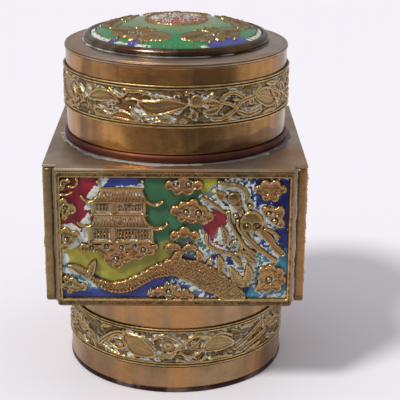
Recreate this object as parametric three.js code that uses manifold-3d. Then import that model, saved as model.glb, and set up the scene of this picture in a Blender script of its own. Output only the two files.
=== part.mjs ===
// A square brass and enamel box with a round foot and a round lift-off lid.
// Millimetres, +Z up, origin at the centre of the underside, the front panel facing -Y.
import * as THREE from "three";
import { mergeVertices } from "three/addons/utils/BufferGeometryUtils.js";
import Module from "manifold-3d";

const wasm = await Module();
wasm.setup();

// Driving sizes
const bodyWidth = 80; // over two opposite panels
const bodyHeight = 44.5;
const panelThickness = 4;
const footHeight = 32;
const sheet = 1.2; // sheet brass of the drums and the square box
const drumInset = 0.6; // from the square box's side to the drums
const basePlateStep = 0.7; // from the drums out to the base plate's edge
const basePlateThickness = 1.8;
const topPlateThickness = 0.9;
const footSkirtStep = 0.6;
const footSkirtHeight = 7.3;
const bandWidth = 13.1; // cast scroll band on the lid and on the foot
const bandGround = 0.5;
const bandRimHeight = 1;
const bandRimWidth = 1.5;
const bandLeaf = 1.1; // height of the leaves over the drum
const bandStem = 0.9;
const bandRepeats = 3;
const ringStep = 1.3; // rolled rib of the copper collar, out from the drums
const ringHeight = 2.8;
const collarThickness = 1;
const collarRise = 13; // above the rib, inside the lid
const collarDrop = 1.5; // below the top plate
const lidHeight = 27.6; // wall, from the rib to the top plate's rim
const lidPlainBelowBand = 8.4;
const lidSlip = 0.4; // radial play of the lid on its collar
const lidTopThickness = 0.9;
const lidTopRise = 0.8;
const lidTopOverhang = 0.3;
const lidTopLedge = 4.7; // of the lid's top plate, under the bezel and the medallion
const bezelInset = 5.7; // from the drum to the bezel
const bezelHeight = 2.5;
const bezelWall = 2.2;
const domeRise = 4.6;
const domeSkin = 1.5;
const domeFlange = 1.6;
const discShare = 0.37; // of the dome's radius
const batCount = 5;
const batPlace = 0.71; // of the dome's radius
const domeRelief = 0.9;
const enamelThickness = 0.7;
const enamelGap = 0.3; // between the enamel's edge and the brass it lies against
const seatGap = 0.05; // between pieces that rest on each other
const frameSide = 1.5; // panel frame, left and right
const frameTop = 2.75;
const frameBottom = 2.35;
const frameDepth = 1.9; // of the field below the frame's face
const panelRelief = 2.5; // of the figures above the field

// Heights and radii that follow from them
const bodyTop = footHeight + bodyHeight;
const coreHalf = bodyWidth / 2 - panelThickness;
const drumRadius = coreHalf - drumInset; // outside of the lid's and foot's plain drums
const basePlateRadius = drumRadius + basePlateStep;
const footSkirtRadius = drumRadius + footSkirtStep;
const ringRadius = drumRadius + ringStep;
const ringTop = bodyTop + ringHeight;
const lidTop = ringTop + seatGap + lidHeight;
const collarRadius = drumRadius - sheet - lidSlip;
const bezelBottom = lidTop + lidTopRise + seatGap;
const bezelRadius = drumRadius - bezelInset;
const lidTopSeat = bezelRadius - lidTopLedge; // radius of the hole under the medallion
const domeRadius = bezelRadius - bezelWall - seatGap;
const discRadius = domeRadius * discShare;
const domeEdge = bezelBottom + bezelHeight - 0.4;
const fieldWide = 2 * (coreHalf - frameSide);
const fieldHigh = bodyHeight - frameTop - frameBottom;
const roundSides = 32;
const domeSides = 28;
const domeRings = 3;
const discSides = 14;

const brass = { color: 0x9c7440, metalness: 0.9, roughness: 0.35 };
const dullBrass = { color: 0x75604b, metalness: 0.8, roughness: 0.5 };
const castBrass = { color: 0x8a6437, metalness: 0.85, roughness: 0.42 };
const copper = { color: 0x8f4a35, metalness: 0.9, roughness: 0.35 };
const greenEnamel = { color: 0x2e7a52, metalness: 0, roughness: 0.15 };
const blueEnamel = { color: 0x22327f, metalness: 0, roughness: 0.15 };

const group = new THREE.Group();

function addMesh(name, geometry, finish, turn = 0) {
  const mesh = new THREE.Mesh(geometry, new THREE.MeshStandardMaterial(finish));
  mesh.name = name;
  mesh.rotation.z = turn;
  group.add(mesh);
}

// A closed geometry as a solid that can be joined and cut.
function toSolid(geometry) {
  const bare = geometry.clone();
  bare.deleteAttribute("normal");
  bare.deleteAttribute("uv");
  const merged = mergeVertices(bare, 1e-4);
  return new wasm.Manifold(
    new wasm.Mesh({
      numProp: 3,
      vertProperties: new Float32Array(merged.getAttribute("position").array),
      triVerts: new Uint32Array(merged.index.array),
    }),
  );
}

function toGeometry(solid) {
  const made = solid.getMesh();
  const geometry = new THREE.BufferGeometry();
  geometry.setAttribute("position", new THREE.BufferAttribute(made.vertProperties, 3));
  geometry.setIndex(new THREE.BufferAttribute(made.triVerts, 1));
  geometry.computeVertexNormals();
  return geometry;
}

// A profile of [radius, height] points turned about Z. A ring's profile closes on itself.
function turned(profile, sides = roundSides) {
  const points = profile.map(([radius, height]) => new THREE.Vector2(radius, height));
  return new THREE.LatheGeometry(points, sides).rotateX(Math.PI / 2);
}

function ring(profile, sides) {
  return turned([...profile, profile[0]], sides);
}

function outline(points) {
  return new THREE.Shape(points.map(([x, y]) => new THREE.Vector2(x, y)));
}

// A flat outline raised along +Z from a height.
function raised(shape, from, height) {
  const geometry = new THREE.ExtrudeGeometry(shape, { depth: height, bevelEnabled: false });
  return geometry.translate(0, 0, from);
}

function circlePoints(radius, sides) {
  return Array.from({ length: sides }, (_, i) => {
    const angle = (2 * Math.PI * i) / sides;
    return [radius * Math.sin(angle), radius * Math.cos(angle)];
  });
}

function boxSolid(x0, x1, y0, y1, z0, z1) {
  const shape = outline([[x0, y0], [x1, y0], [x1, y1], [x0, y1]]);
  return toSolid(raised(shape, z0, z1 - z0));
}

// The foot: a disc under a drum whose lower skirt is a little wider
function addFoot() {
  const inner = drumRadius - sheet;
  const skirtTop = basePlateThickness + footSkirtHeight;
  addMesh(
    "base_plate",
    turned([[0, 0], [basePlateRadius, 0], [basePlateRadius, basePlateThickness], [0, basePlateThickness]]),
    dullBrass,
  );
  const drum = ring([
    [inner, basePlateThickness],
    [footSkirtRadius, basePlateThickness],
    [footSkirtRadius, skirtTop - 0.4],
    [drumRadius, skirtTop - seatGap],
    [drumRadius, footHeight - seatGap],
    [inner, footHeight - seatGap],
  ]);
  addMesh("foot_drum", drum, brass);
  addBand("foot_scroll_band", skirtTop);
}

// One repeat of the scroll bands: leaves and pods by outline, stems by their middle line. Points are
// degrees round the drum from the repeat's middle, and millimetres up from the band's middle.
const bandLeaves = [
  [[-53, 0], [-42, -3.4], [-30, -2], [-17, -3], [-20, 2], [-40, 2.6]],
  [[-15, -1.8], [-4, -2.2], [6, 0.5], [-4, 2.6], [-14, 2]],
  [[7.6, 0], [9, -2.8], [13, -1.6], [13, 2.6], [9, 3.4]],
  [[14.6, 1.9], [18, -2], [24, 0.2], [20, 1.9]],
  [[43, 1.6], [46, -2], [53, -3.2], [57, 0.4], [48, 3.4]],
];
const bandStems = [
  [[17.6, -3.9], [25, -3.4], [33.5, 0.6], [43, 3.2]],
  [[22, 1.9], [26.5, 3.6], [31, 2.9]],
  [[33.8, -1.4], [38, -3.6], [45, -3]],
];
const bandStemHalf = 0.8;

// A flat figure, in degrees and millimetres, as a prism that reaches out from the axis to beyond the drum
function wedge(points, middle, turn) {
  const geometry = raised(outline(points), drumRadius * 0.7, drumRadius * 0.7);
  const position = geometry.getAttribute("position");
  for (let i = 0; i < position.count; i++) {
    const angle = THREE.MathUtils.degToRad(position.getX(i) + turn);
    const radius = position.getZ(i);
    position.setXYZ(i, radius * Math.sin(angle), -radius * Math.cos(angle), middle + position.getY(i));
  }
  return toSolid(geometry);
}

// A cast strip round a drum: two raised rims with leaves and crossing stems between them
function addBand(name, bottom) {
  const inner = drumRadius + seatGap;
  const ground = drumRadius + bandGround;
  const rim = drumRadius + bandRimHeight;
  const top = bottom + bandWidth;
  const middle = (bottom + top) / 2;
  const shell = (height) => {
    const outer = drumRadius + height;
    const back = inner + 0.1;
    return toSolid(ring([[back, bottom + 1], [outer, bottom + 1], [outer, top - 1], [back, top - 1]]));
  };
  const degree = (Math.PI * drumRadius) / 180;
  const stems = bandStems.map((line) => {
    const flat = line.map(([x, y]) => [x * degree, y]);
    return stripPoints(flat, line.map(() => bandStemHalf), 0).map(([x, y]) => [x / degree, y]);
  });
  let solid = toSolid(
    ring([
      [inner, bottom],
      [rim, bottom + 0.3],
      [ground, bottom + bandRimWidth],
      [ground, top - bandRimWidth],
      [rim, top - 0.3],
      [inner, top],
    ]),
  );
  for (const [figures, height] of [[bandLeaves, bandLeaf], [stems, bandStem]]) {
    const reach = shell(height);
    for (let turn = 0; turn < 360; turn += 360 / bandRepeats)
      for (const figure of figures) solid = solid.add(wedge(figure, middle, turn).intersect(reach));
  }
  addMesh(name, toGeometry(solid), castBrass);
}

// The square box inside the panels, open to the foot below and to the collar above
function addBodyBox() {
  const top = bodyTop - topPlateThickness - seatGap;
  const shell = boxSolid(-coreHalf, coreHalf, -coreHalf, coreHalf, footHeight, top);
  const room = coreHalf - sheet;
  const cavity = boxSolid(-room, room, -room, room, footHeight + sheet, top + 1);
  const bore = outline(circlePoints(drumRadius - sheet, roundSides));
  const throat = toSolid(raised(bore, footHeight - 1, sheet + 2));
  addMesh("body_box", toGeometry(shell.subtract(cavity).subtract(throat)), brass);
}

// The top plate reaches over the panels and is notched at the corners, as the body is
function addTopPlate() {
  const out = bodyWidth / 2;
  const notch = coreHalf;
  const corner = [[notch, notch], [notch, out], [-notch, out], [-notch, notch], [-out, notch], [-out, -notch],
    [-notch, -notch], [-notch, -out], [notch, -out], [notch, -notch], [out, -notch], [out, notch]];
  const shape = outline(corner);
  const hole = circlePoints(collarRadius + seatGap, roundSides).map(([x, y]) => new THREE.Vector2(x, y));
  shape.holes.push(new THREE.Path(hole));
  addMesh("top_plate", raised(shape, bodyTop - topPlateThickness, topPlateThickness), dullBrass);
}

// The copper collar: a short tube with a rolled rib that lies on the top plate
function addCollar() {
  const inner = collarRadius - collarThickness;
  const from = bodyTop + seatGap;
  const rib = ringHeight - seatGap;
  addMesh(
    "copper_collar",
    ring([
      [inner, bodyTop - topPlateThickness - collarDrop],
      [collarRadius, bodyTop - topPlateThickness - collarDrop],
      [collarRadius, from],
      [ringRadius - 0.5, from],
      [ringRadius, from + rib * 0.5],
      [ringRadius - 0.9, ringTop],
      [collarRadius, ringTop],
      [collarRadius, ringTop + collarRise],
      [inner, ringTop + collarRise],
    ]),
    copper,
  );
}

// Figures of a panel: x along its field and y up it from the middle, drawn for a field of this size
const drawnWide = 69;
const drawnHigh = 39.4;
const clouds = [
  { x: -1.8, y: -18.4, wide: 6.4, high: 4, lobes: 5 }, // under the dragon's arch
  { x: -17, y: -4.6, wide: 11.6, high: 5.6, lobes: 6 }, // under the pagoda
  { x: 2.7, y: 17.4, wide: 5.8, high: 3.6, lobes: 4 }, // top middle
  { x: 5, y: 8.9, wide: 7, high: 3.9, lobes: 5 }, // middle
  { x: 2.9, y: 1.4, wide: 4.7, high: 2.1, lobes: 3 }, // below the middle
  { x: 28.6, y: 15.6, wide: 5, high: 3.6, lobes: 4 }, // upper right
  { x: 29.9, y: 7.4, wide: 3.7, high: 3.6, lobes: 4 }, // right
  { x: 29.8, y: -13, wide: 4.4, high: 4.6, lobes: 4 }, // lower right
  { x: -32.6, y: 9.2, wide: 3.4, high: 2.6, lobes: 3 }, // upper left
  { x: -32.6, y: -1, wide: 3.7, high: 4.6, lobes: 4 }, // left
  { x: -31.4, y: -15.8, wide: 4.6, high: 3.6, lobes: 4 }, // lower left
];
const roomSides = 6; // of the room that the enamel leaves for a cloud

// A cloud's outline: an oval whose edge swells into lobes
function cloudPoints({ x, y, wide, high, lobes }) {
  const steps = [[0, 0.82], [0.3, 1], [0.7, 1]];
  const points = [];
  for (let i = 0; i < lobes; i++)
    for (const [share, reach] of steps) {
      const angle = (2 * Math.PI * (i + share)) / lobes;
      points.push([x + wide * reach * Math.cos(angle), y + high * reach * Math.sin(angle)]);
    }
  return points;
}

function ovalPoints({ x, y, wide, high }, margin) {
  return Array.from({ length: roomSides }, (_, i) => {
    const angle = (Math.PI * (2 * i + 1)) / roomSides;
    const reach = 1 / Math.cos(Math.PI / roomSides);
    return [x + (wide + margin) * reach * Math.cos(angle), y + (high + margin) * reach * Math.sin(angle)];
  });
}

// The dragon's body is a strip along a curve, with a half width at each point.
const dragonSpine = [[-25.4, -12.4], [-21.8, -15.6], [-17, -16.6], [-12.4, -15], [-7, -11.2], [0, -9.3],
  [6, -11], [13, -14.6], [20.5, -20.5]];
const dragonHalf = [0.9, 1.3, 1.8, 2, 2.2, 2.4, 2.6, 3, 3.4];
const dragonParts = [
  [[10.6, 16], [14.6, 10.2], [19, 7.4], [20.8, 10], [22.4, 15.6], [17.4, 17.8]], // head
  [[19.6, 5.8], [21.4, 2.6], [25, 2.6], [26.8, 5.8], [25, 9], [21.4, 9]], // coil
  [[21.4, 3], [25.8, -2.4], [32.8, -5.6], [29.6, 0.4], [26.2, 4.4]], // fore limb
  [[12.8, 4.4], [12.4, -1.6], [20, -5.6], [21.4, -3.4], [16.6, 4]], // loop
];

function stripPoints(spine, halves, margin) {
  const sides = [[], []];
  spine.forEach(([x, y], i) => {
    const before = spine[Math.max(0, i - 1)];
    const after = spine[Math.min(spine.length - 1, i + 1)];
    const along = new THREE.Vector2(after[0] - before[0], after[1] - before[1]).normalize();
    const half = halves[i] + margin;
    sides[0].push([x - along.y * half, y + along.x * half]);
    sides[1].unshift([x + along.y * half, y - along.x * half]);
  });
  return [...sides[1], ...sides[0]];
}

function grown(points, margin) {
  const middle = points.reduce(([sx, sy], [x, y]) => [sx + x / points.length, sy + y / points.length], [0, 0]);
  return points.map(([x, y]) => {
    const away = new THREE.Vector2(x - middle[0], y - middle[1]);
    away.setLength(away.length() + margin);
    return [middle[0] + away.x, middle[1] + away.y];
  });
}

// The pagoda: two storeys, each under a roof whose eaves turn up
const pagoda = {
  x: -16.6,
  base: -1.2,
  storeyHigh: 4.7,
  roofHigh: 4,
  storeyHalf: 9.8,
  upperHalf: 8.4,
  eave: 3.6,
};

function roofPoints(y, lowHalf, highHalf, { x, roofHigh, eave }) {
  const tip = lowHalf + eave;
  const right = [[highHalf, roofHigh], [lowHalf, 0.6], [tip, 1.6], [tip - eave * 0.4, 0], [lowHalf, -0.5]];
  const left = right.map(([px, py]) => [-px, py]).reverse();
  return [...left, ...right].map(([px, py]) => [x + px, y + py]).reverse();
}

function pagodaParts() {
  const { x, base, storeyHigh, roofHigh, storeyHalf, upperHalf } = pagoda;
  const upperBase = base + storeyHigh + roofHigh;
  const block = (half, y, high) => [[x - half, y], [x + half, y], [x + half, y + high], [x - half, y + high]];
  return [
    { points: block(storeyHalf, base, storeyHigh), height: panelRelief * 0.75 },
    { points: roofPoints(base + storeyHigh, storeyHalf, upperHalf, pagoda), height: panelRelief },
    { points: block(upperHalf, upperBase, storeyHigh), height: panelRelief * 0.75 },
    { points: roofPoints(upperBase + storeyHigh, upperHalf, upperHalf - 1.8, pagoda), height: panelRelief },
  ];
}

// Room that the enamel leaves for each figure
function figureRoom(margin) {
  const { x, base, storeyHigh, roofHigh, storeyHalf, upperHalf, eave } = pagoda;
  const storeys = [[base + storeyHigh, storeyHalf], [base + 2 * storeyHigh + roofHigh, upperHalf]];
  return [
    ...clouds.map((cloud) => ovalPoints(cloud, margin)),
    ...storeys.flatMap(([eaves, half]) => [
      rectangle(x - half - margin, x + half + margin, eaves - storeyHigh - margin, eaves + roofHigh + margin),
      rectangle(x - half - eave - margin, x + half + eave + margin, eaves - 0.5 - margin, eaves + 1.6 + margin),
    ]),
    stripPoints(dragonSpine, dragonHalf, margin),
    ...dragonParts.map((points) => grown(points, margin)),
  ];
}

// Stands a flat figure of the panel's frame up on the front of the body.
function onPanel(points, depthFrom, height) {
  const middle = (footHeight + bodyTop - topPlateThickness) / 2;
  const geometry = raised(outline(points), depthFrom, height).rotateX(Math.PI / 2);
  return toSolid(geometry.translate(0, -coreHalf, middle));
}

// Figures are drawn for one size of field and fitted to the panel's own.
function fitted(points) {
  return points.map(([x, y]) => [(x * fieldWide) / drawnWide, (y * fieldHigh) / drawnHigh]);
}

function rectangle(x0, x1, y0, y1) {
  return [[x0, y0], [x1, y0], [x1, y1], [x0, y1]];
}

// A cast panel: a frame round a field from which the figures stand up, and the enamel round them
function panelSolids() {
  const halfHigh = (bodyHeight - topPlateThickness) / 2 - seatGap;
  const field = panelThickness - frameDepth;
  const roomHalf = fieldWide / 2;
  const low = frameBottom - halfHigh;
  const high = halfHigh - frameTop + topPlateThickness;
  const window = rectangle(-roomHalf, roomHalf, low, high);
  const slab = onPanel(rectangle(-coreHalf, coreHalf, -halfHigh, halfHigh), seatGap, panelThickness - seatGap);
  const recess = onPanel(window, field, panelThickness);
  const reach = rectangle(-coreHalf + 0.5, coreHalf - 0.5, -halfHigh + 0.5, high + 0.5);
  const inside = onPanel(reach, seatGap, bodyWidth);
  const figures = [
    ...pagodaParts(),
    ...clouds.map((cloud) => ({ points: cloudPoints(cloud), height: panelRelief })),
    { points: stripPoints(dragonSpine, dragonHalf, 0), height: panelRelief },
    ...dragonParts.map((points) => ({ points, height: panelRelief })),
  ];
  let panel = slab.subtract(recess);
  for (const { points, height } of figures)
    panel = panel.add(onPanel(fitted(points), field - 0.5, height + 0.5).intersect(inside));
  const pool = rectangle(-roomHalf + enamelGap, roomHalf - enamelGap, low + enamelGap, high - enamelGap);
  let enamel = onPanel(pool, field + seatGap, enamelThickness);
  for (const points of figureRoom(enamelGap))
    enamel = enamel.subtract(onPanel(fitted(points), 0, panelThickness * 2));
  return [panel, largest(enamel)];
}

function largest(solid) {
  return solid.decompose().reduce((a, b) => (b.volume() > a.volume() ? b : a));
}

function addPanels() {
  const [panel, enamel] = panelSolids().map(toGeometry);
  ["front", "right", "back", "left"].forEach((side, i) => {
    const turn = (Math.PI / 2) * i;
    addMesh(`panel_${side}`, panel, castBrass, turn);
    addMesh(`panel_enamel_${side}`, enamel, blueEnamel, turn);
  });
}

// The lid: a drum with its scroll band, closed by a rimmed plate
function addLid() {
  const inner = drumRadius - sheet;
  const bottom = ringTop + seatGap;
  const wallTop = lidTop - lidTopThickness;
  const wall = [[inner, bottom], [drumRadius, bottom], [drumRadius, wallTop], [inner, wallTop]];
  addMesh("lid_drum", ring(wall), brass);
  addBand("lid_scroll_band", bottom + lidPlainBelowBand);
  const under = wallTop + seatGap;
  const rim = drumRadius + lidTopOverhang;
  addMesh(
    "lid_top_plate",
    ring([
      [lidTopSeat, under + lidTopRise],
      [drumRadius - sheet * 2, under],
      [rim, under],
      [rim, lidTop],
      [bezelRadius, lidTop + lidTopRise],
      [lidTopSeat, lidTop + lidTopRise],
    ]),
    dullBrass,
  );
}

// Height of the dome's brass surface at a radius
function domeHeight(radius) {
  return domeEdge + domeRise * (1 - (radius / domeRadius) ** 2);
}

function domeArc(from, to, offset) {
  return Array.from({ length: domeRings + 1 }, (_, i) => {
    const radius = from + ((to - from) * i) / domeRings;
    return [radius, domeHeight(radius) + offset];
  });
}

// A layer of the dome between two offsets from its surface
function domeLayer(low, high) {
  const reach = domeRadius - 0.2;
  const under = domeArc(0, reach, low);
  const over = domeArc(reach, 0, high);
  return toSolid(turned([...under, ...over], domeSides));
}

// A bat seen from above, in shares of the dome's radius: two swept wings and a head towards the rim
function batPoints(middle, margin) {
  const halfBat = [[0, -0.17], [0.09, -0.14], [0.2, -0.2], [0.35, 0.06], [0.22, 0.15], [0, 0.13]];
  const right = halfBat.map(([x, y]) => [x * domeRadius, y * domeRadius - middle]);
  const left = right.slice(1, -1).map(([x, y]) => [-x, y]).reverse();
  return grown([...right, ...left], margin);
}

// The medallion's raised figures as prisms: a disc, and five bats round it
function medallionFigures(margin) {
  const prism = (points) => raised(outline(points), bezelBottom, domeRise * 4);
  const batMiddle = domeRadius * batPlace;
  const bats = Array.from({ length: batCount }, (_, i) =>
    prism(batPoints(batMiddle, margin)).rotateZ((2 * Math.PI * (i + 0.5)) / batCount),
  );
  return [prism(circlePoints(discRadius + margin, discSides)), ...bats].map(toSolid);
}

// The bezel holds the medallion: a cast dome with a flange at its edge, and enamel round its figures.
function addMedallion() {
  const inner = bezelRadius - bezelWall;
  const bezel = [
    [inner, bezelBottom],
    [bezelRadius, bezelBottom],
    [bezelRadius, bezelBottom + bezelHeight * 0.3],
    [bezelRadius - bezelWall * 0.5, bezelBottom + bezelHeight * 0.85],
    [bezelRadius - bezelWall * 0.8, bezelBottom + bezelHeight],
    [inner, bezelBottom + bezelHeight],
  ];
  addMesh("bezel", ring(bezel, domeSides), brass);
  const foot = domeRadius - domeFlange;
  const plate = [
    ...domeArc(0, foot, -enamelThickness - domeSkin),
    [foot, bezelBottom],
    [domeRadius, bezelBottom],
    ...domeArc(domeRadius, 0, -enamelThickness),
  ];
  const reliefLayer = domeLayer(-enamelThickness - 0.3, domeRelief);
  let medallion = toSolid(turned(plate, domeSides));
  for (const figure of medallionFigures(0)) medallion = medallion.add(figure.intersect(reliefLayer));
  let enamel = domeLayer(seatGap - enamelThickness, 0);
  for (const figure of medallionFigures(enamelGap)) enamel = enamel.subtract(figure);
  addMesh("medallion", toGeometry(medallion), castBrass);
  addMesh("medallion_enamel", toGeometry(largest(enamel)), greenEnamel);
}

addFoot();
addBodyBox();
addTopPlate();
addCollar();
addPanels();
addLid();
addMedallion();

export default group;
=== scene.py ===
"""A square cast-brass box with enamelled relief panels, a round foot and a domed round lid."""
import math
from collections import namedtuple

import bpy
import numpy as np
from bpy.props import FloatProperty, FloatVectorProperty, IntProperty, PointerProperty
from mathutils import Matrix, Vector


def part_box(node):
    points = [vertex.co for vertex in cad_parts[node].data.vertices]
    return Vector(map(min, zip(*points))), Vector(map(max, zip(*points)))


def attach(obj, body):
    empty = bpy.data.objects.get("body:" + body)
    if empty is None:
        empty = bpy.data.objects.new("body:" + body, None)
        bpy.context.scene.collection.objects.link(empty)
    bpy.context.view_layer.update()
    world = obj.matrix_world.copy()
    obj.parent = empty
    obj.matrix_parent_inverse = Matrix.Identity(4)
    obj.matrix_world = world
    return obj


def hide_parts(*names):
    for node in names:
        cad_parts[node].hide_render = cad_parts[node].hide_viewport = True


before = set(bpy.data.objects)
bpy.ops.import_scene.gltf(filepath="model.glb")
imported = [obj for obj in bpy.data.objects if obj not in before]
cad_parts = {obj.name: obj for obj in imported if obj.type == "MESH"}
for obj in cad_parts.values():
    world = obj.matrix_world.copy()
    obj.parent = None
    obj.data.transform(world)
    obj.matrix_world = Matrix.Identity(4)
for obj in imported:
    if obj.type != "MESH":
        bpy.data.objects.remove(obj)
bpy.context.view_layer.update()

bl_info = {
    "name": "Cloisonne Enamel Box",
    "version": (1, 0),
    "blender": (4, 5, 0),
    "location": "View3D > Sidebar > Enamel Box",
    "description": "Builds a square brass box with enamelled relief panels and a domed round lid",
    "category": "Add Mesh",
}

MM = 0.001
ROOT = "root"
SIDES = ("front", "right", "back", "left")

# Vertices nearer than MERGE metres become one. A rounded corner takes CORNER_SHARE of a side at most, and a
# flat that is longer than HELD_FROM corner radii gets points that hold it flat.
MERGE = 2e-6
CORNER_SHARE = 0.45
HELD_FROM = 4


def cad(node):
    """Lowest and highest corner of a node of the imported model, in millimetres."""
    low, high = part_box(node)
    return [c / MM for c in low], [c / MM for c in high]


def paint(red, green, blue):
    """A colour given in display values from 0 to 255, as a linear colour."""
    def linear(value):
        value /= 255
        return value / 12.92 if value <= 0.04045 else ((value + 0.055) / 1.055) ** 2.4

    return linear(red), linear(green), linear(blue)


def colour(name, about, red, green, blue):
    """A colour property with a default given in display values."""
    return FloatVectorProperty(
        name=name, description=about, subtype="COLOR", size=3, min=0, max=1, default=paint(red, green, blue)
    )


def length(name, about, millimetres):
    """A length property with a default given in millimetres."""
    return FloatProperty(name=name, description=about, default=millimetres * MM, unit="LENGTH", precision=5)


class EnamelBoxSizes(bpy.types.PropertyGroup):
    """Sizes of the finer forms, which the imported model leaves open."""

    panel_pitch: length("Panel pitch", "Spacing of the vertices on the relief panels", 0.245)
    enamel_pitch: length("Enamel pitch", "Spacing of the vertices on the panels' enamel", 0.33)
    band_pitch: length("Band pitch", "Spacing of the vertices on the scroll bands", 0.3)
    dome_pitch: length("Dome pitch", "Spacing of the rings of the medallion", 0.3)
    frame_round: length("Frame rounding", "Radius of the outer corners of a panel's frame", 1.0)
    notch_solder: length("Corner solder", "Radius of the solder run down each corner notch", 0.75)
    round_sides: IntProperty(name="Round sides", description="Sides of the turned pieces", default=192, min=48)


class EnamelBoxColours(bpy.types.PropertyGroup):
    """Colours of the metals and of the enamel."""

    brass: colour("Sheet brass", "Satin golden brown of the drums", 168, 127, 80)
    # The stain is darker streaks, partly tarnish and partly painted reflection; the warm colour is orange patches of
    # painted reflection.
    brass_stain_and_reflection: colour("Brass stain", "Darker streaks on the drums", 98, 74, 52)
    brass_warm_reflection: colour("Brass warm", "Orange patches on the drums", 204, 148, 84)
    foot: colour("Foot brass", "Paler brass of the foot", 170, 140, 104)
    # The foot's stain is darker streaks, partly tarnish and partly painted reflection; its warm colour is orange
    # patches of painted reflection.
    foot_stain_and_reflection: colour("Foot stain", "Darker streaks on the foot", 128, 100, 72)
    foot_warm_reflection: colour("Foot warm", "Orange patches on the foot", 190, 136, 82)
    dull: colour("Dull brass", "Grey-brown of the flat plates", 182, 165, 144)
    dull_stain: colour("Dull stain", "Darker patches on the flat plates", 140, 123, 108)
    cast: colour("Cast brass", "Body of the relief castings", 169, 146, 98)
    cast_warm: colour("Cast warm", "Reddish tone of the relief's flat tops", 174, 125, 80)
    # Rubbed brass: edges rubbed bright, and also a painted highlight on the raised edges.
    rub_and_glint: colour("Rubbed and glinting brass", "Edges rubbed bright", 234, 196, 130)
    # Hollow: dark tarnish, and also painted shade in the crevices of the castings and in the enamel next to the
    # figures.
    hollow: colour("Hollow", "Dark tarnish in the hollows", 40, 31, 24)
    residue: colour("Residue", "Pale grey-green residue round the figures", 206, 213, 204)
    copper: colour("Copper", "Reddish brown of the collar", 120, 69, 53)
    copper_stain: colour("Copper stain", "Dark purple-brown tarnish", 62, 38, 38)
    solder: colour("Solder", "Dull grey solder", 76, 80, 86)
    crimson: colour("Crimson", "Enamel at the upper left", 134, 32, 46)
    cobalt: colour("Cobalt", "Enamel at the upper right", 24, 32, 104)
    green: colour("Green", "Enamel right of the pagoda", 58, 104, 70)
    yellow: colour("Yellow-green", "Enamel over the dragon", 162, 154, 50)
    olive: colour("Olive", "Duller areas of the yellow-green", 124, 118, 48)
    teal: colour("Teal", "Enamel at the lower right", 52, 128, 160)
    blue: colour("Low blue", "Enamel under the dragon", 52, 62, 132)
    murk: colour("Murk", "Grey-teal film between the residue", 96, 116, 120)
    dome_green: colour("Dome green", "Enamel at the medallion's edge", 22, 120, 66)
    dome_grey: colour("Dome grey-green", "Enamel near the medallion's disc", 112, 128, 84)
    dome_red: colour("Dome red", "Enamel of the medallion's disc", 140, 26, 36)


class EnamelBoxStage(bpy.types.PropertyGroup):
    """The floor, the light and the camera."""

    floor: colour("Floor", "Plain pale floor", 236, 233, 237)
    sky: colour("Surround", "Soft light all round", 228, 226, 231)
    sky_strength: FloatProperty(name="Surround strength", description="Strength of the soft light", default=0.7, min=0)
    key_strength: FloatProperty(name="Key strength", description="Strength of the key light", default=2.15, min=0)
    key_width: FloatProperty(
        name="Key width", description="Angular width of the key light", default=math.radians(11), subtype="ANGLE"
    )
    lens: FloatProperty(name="Lens", description="Focal length in millimetres on a 36 mm sensor", default=105.49)


# Modelling helpers


def clear():
    """Leaves edit mode and deselects everything, so an operator acts on the new piece alone."""
    if bpy.context.mode != "OBJECT":
        bpy.ops.object.mode_set(mode="OBJECT")
    bpy.ops.object.select_all(action="DESELECT")


def take(piece):
    """Selects a piece alone and makes it the active one."""
    clear()
    piece.select_set(True)
    bpy.context.view_layer.objects.active = piece


def own_copy(source):
    """A copy of a piece with its own mesh, free of its parent and of the frame's notes."""
    piece = source.copy()
    piece.data = source.data.copy()
    piece.parent = None
    for key in [key for key in piece.keys() if key.startswith("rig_")]:
        del piece[key]
    bpy.context.collection.objects.link(piece)
    return piece


def edit():
    """Enters edit mode with everything selected."""
    bpy.ops.object.mode_set(mode="EDIT")
    bpy.ops.mesh.select_all(action="SELECT")


def done(outward=False):
    """Leaves edit mode, and turns all faces outward before that if asked."""
    if outward:
        bpy.ops.mesh.select_all(action="SELECT")
        bpy.ops.mesh.normals_make_consistent(inside=False)
    bpy.ops.object.mode_set(mode="OBJECT")


def finish(piece, name, material, slot, replaced=(), angle=35):
    """Names a piece, applies its place, gives it its finish, hangs it under the root body and hides the imported parts
    it replaces.
    """
    take(piece)
    bpy.ops.object.transform_apply()
    if angle is None:
        bpy.ops.object.shade_smooth()
    else:
        bpy.ops.object.shade_smooth_by_angle(angle=math.radians(angle))
    piece.name = piece.data.name = name
    piece.data.materials.clear()
    piece.data.materials.append(material)
    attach(piece, ROOT)
    if replaced:
        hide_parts(*replaced)


def places(mesh):
    """The vertices of a mesh as an array, in millimetres."""
    flat = np.empty(len(mesh.vertices) * 3)
    mesh.vertices.foreach_get("co", flat)
    return flat.reshape(-1, 3) / MM


def put(mesh, points):
    mesh.vertices.foreach_set("co", (points * MM).ravel())
    mesh.update()


def mark(mesh, name, colours):
    """Stores a colour for each vertex."""
    layer = mesh.attributes.new(name, "FLOAT_COLOR", "POINT")
    rgba = np.ones((len(mesh.vertices), 4), dtype=np.float32)
    rgba[:, : colours.shape[1]] = colours
    layer.data.foreach_set("color", rgba.ravel())


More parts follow.
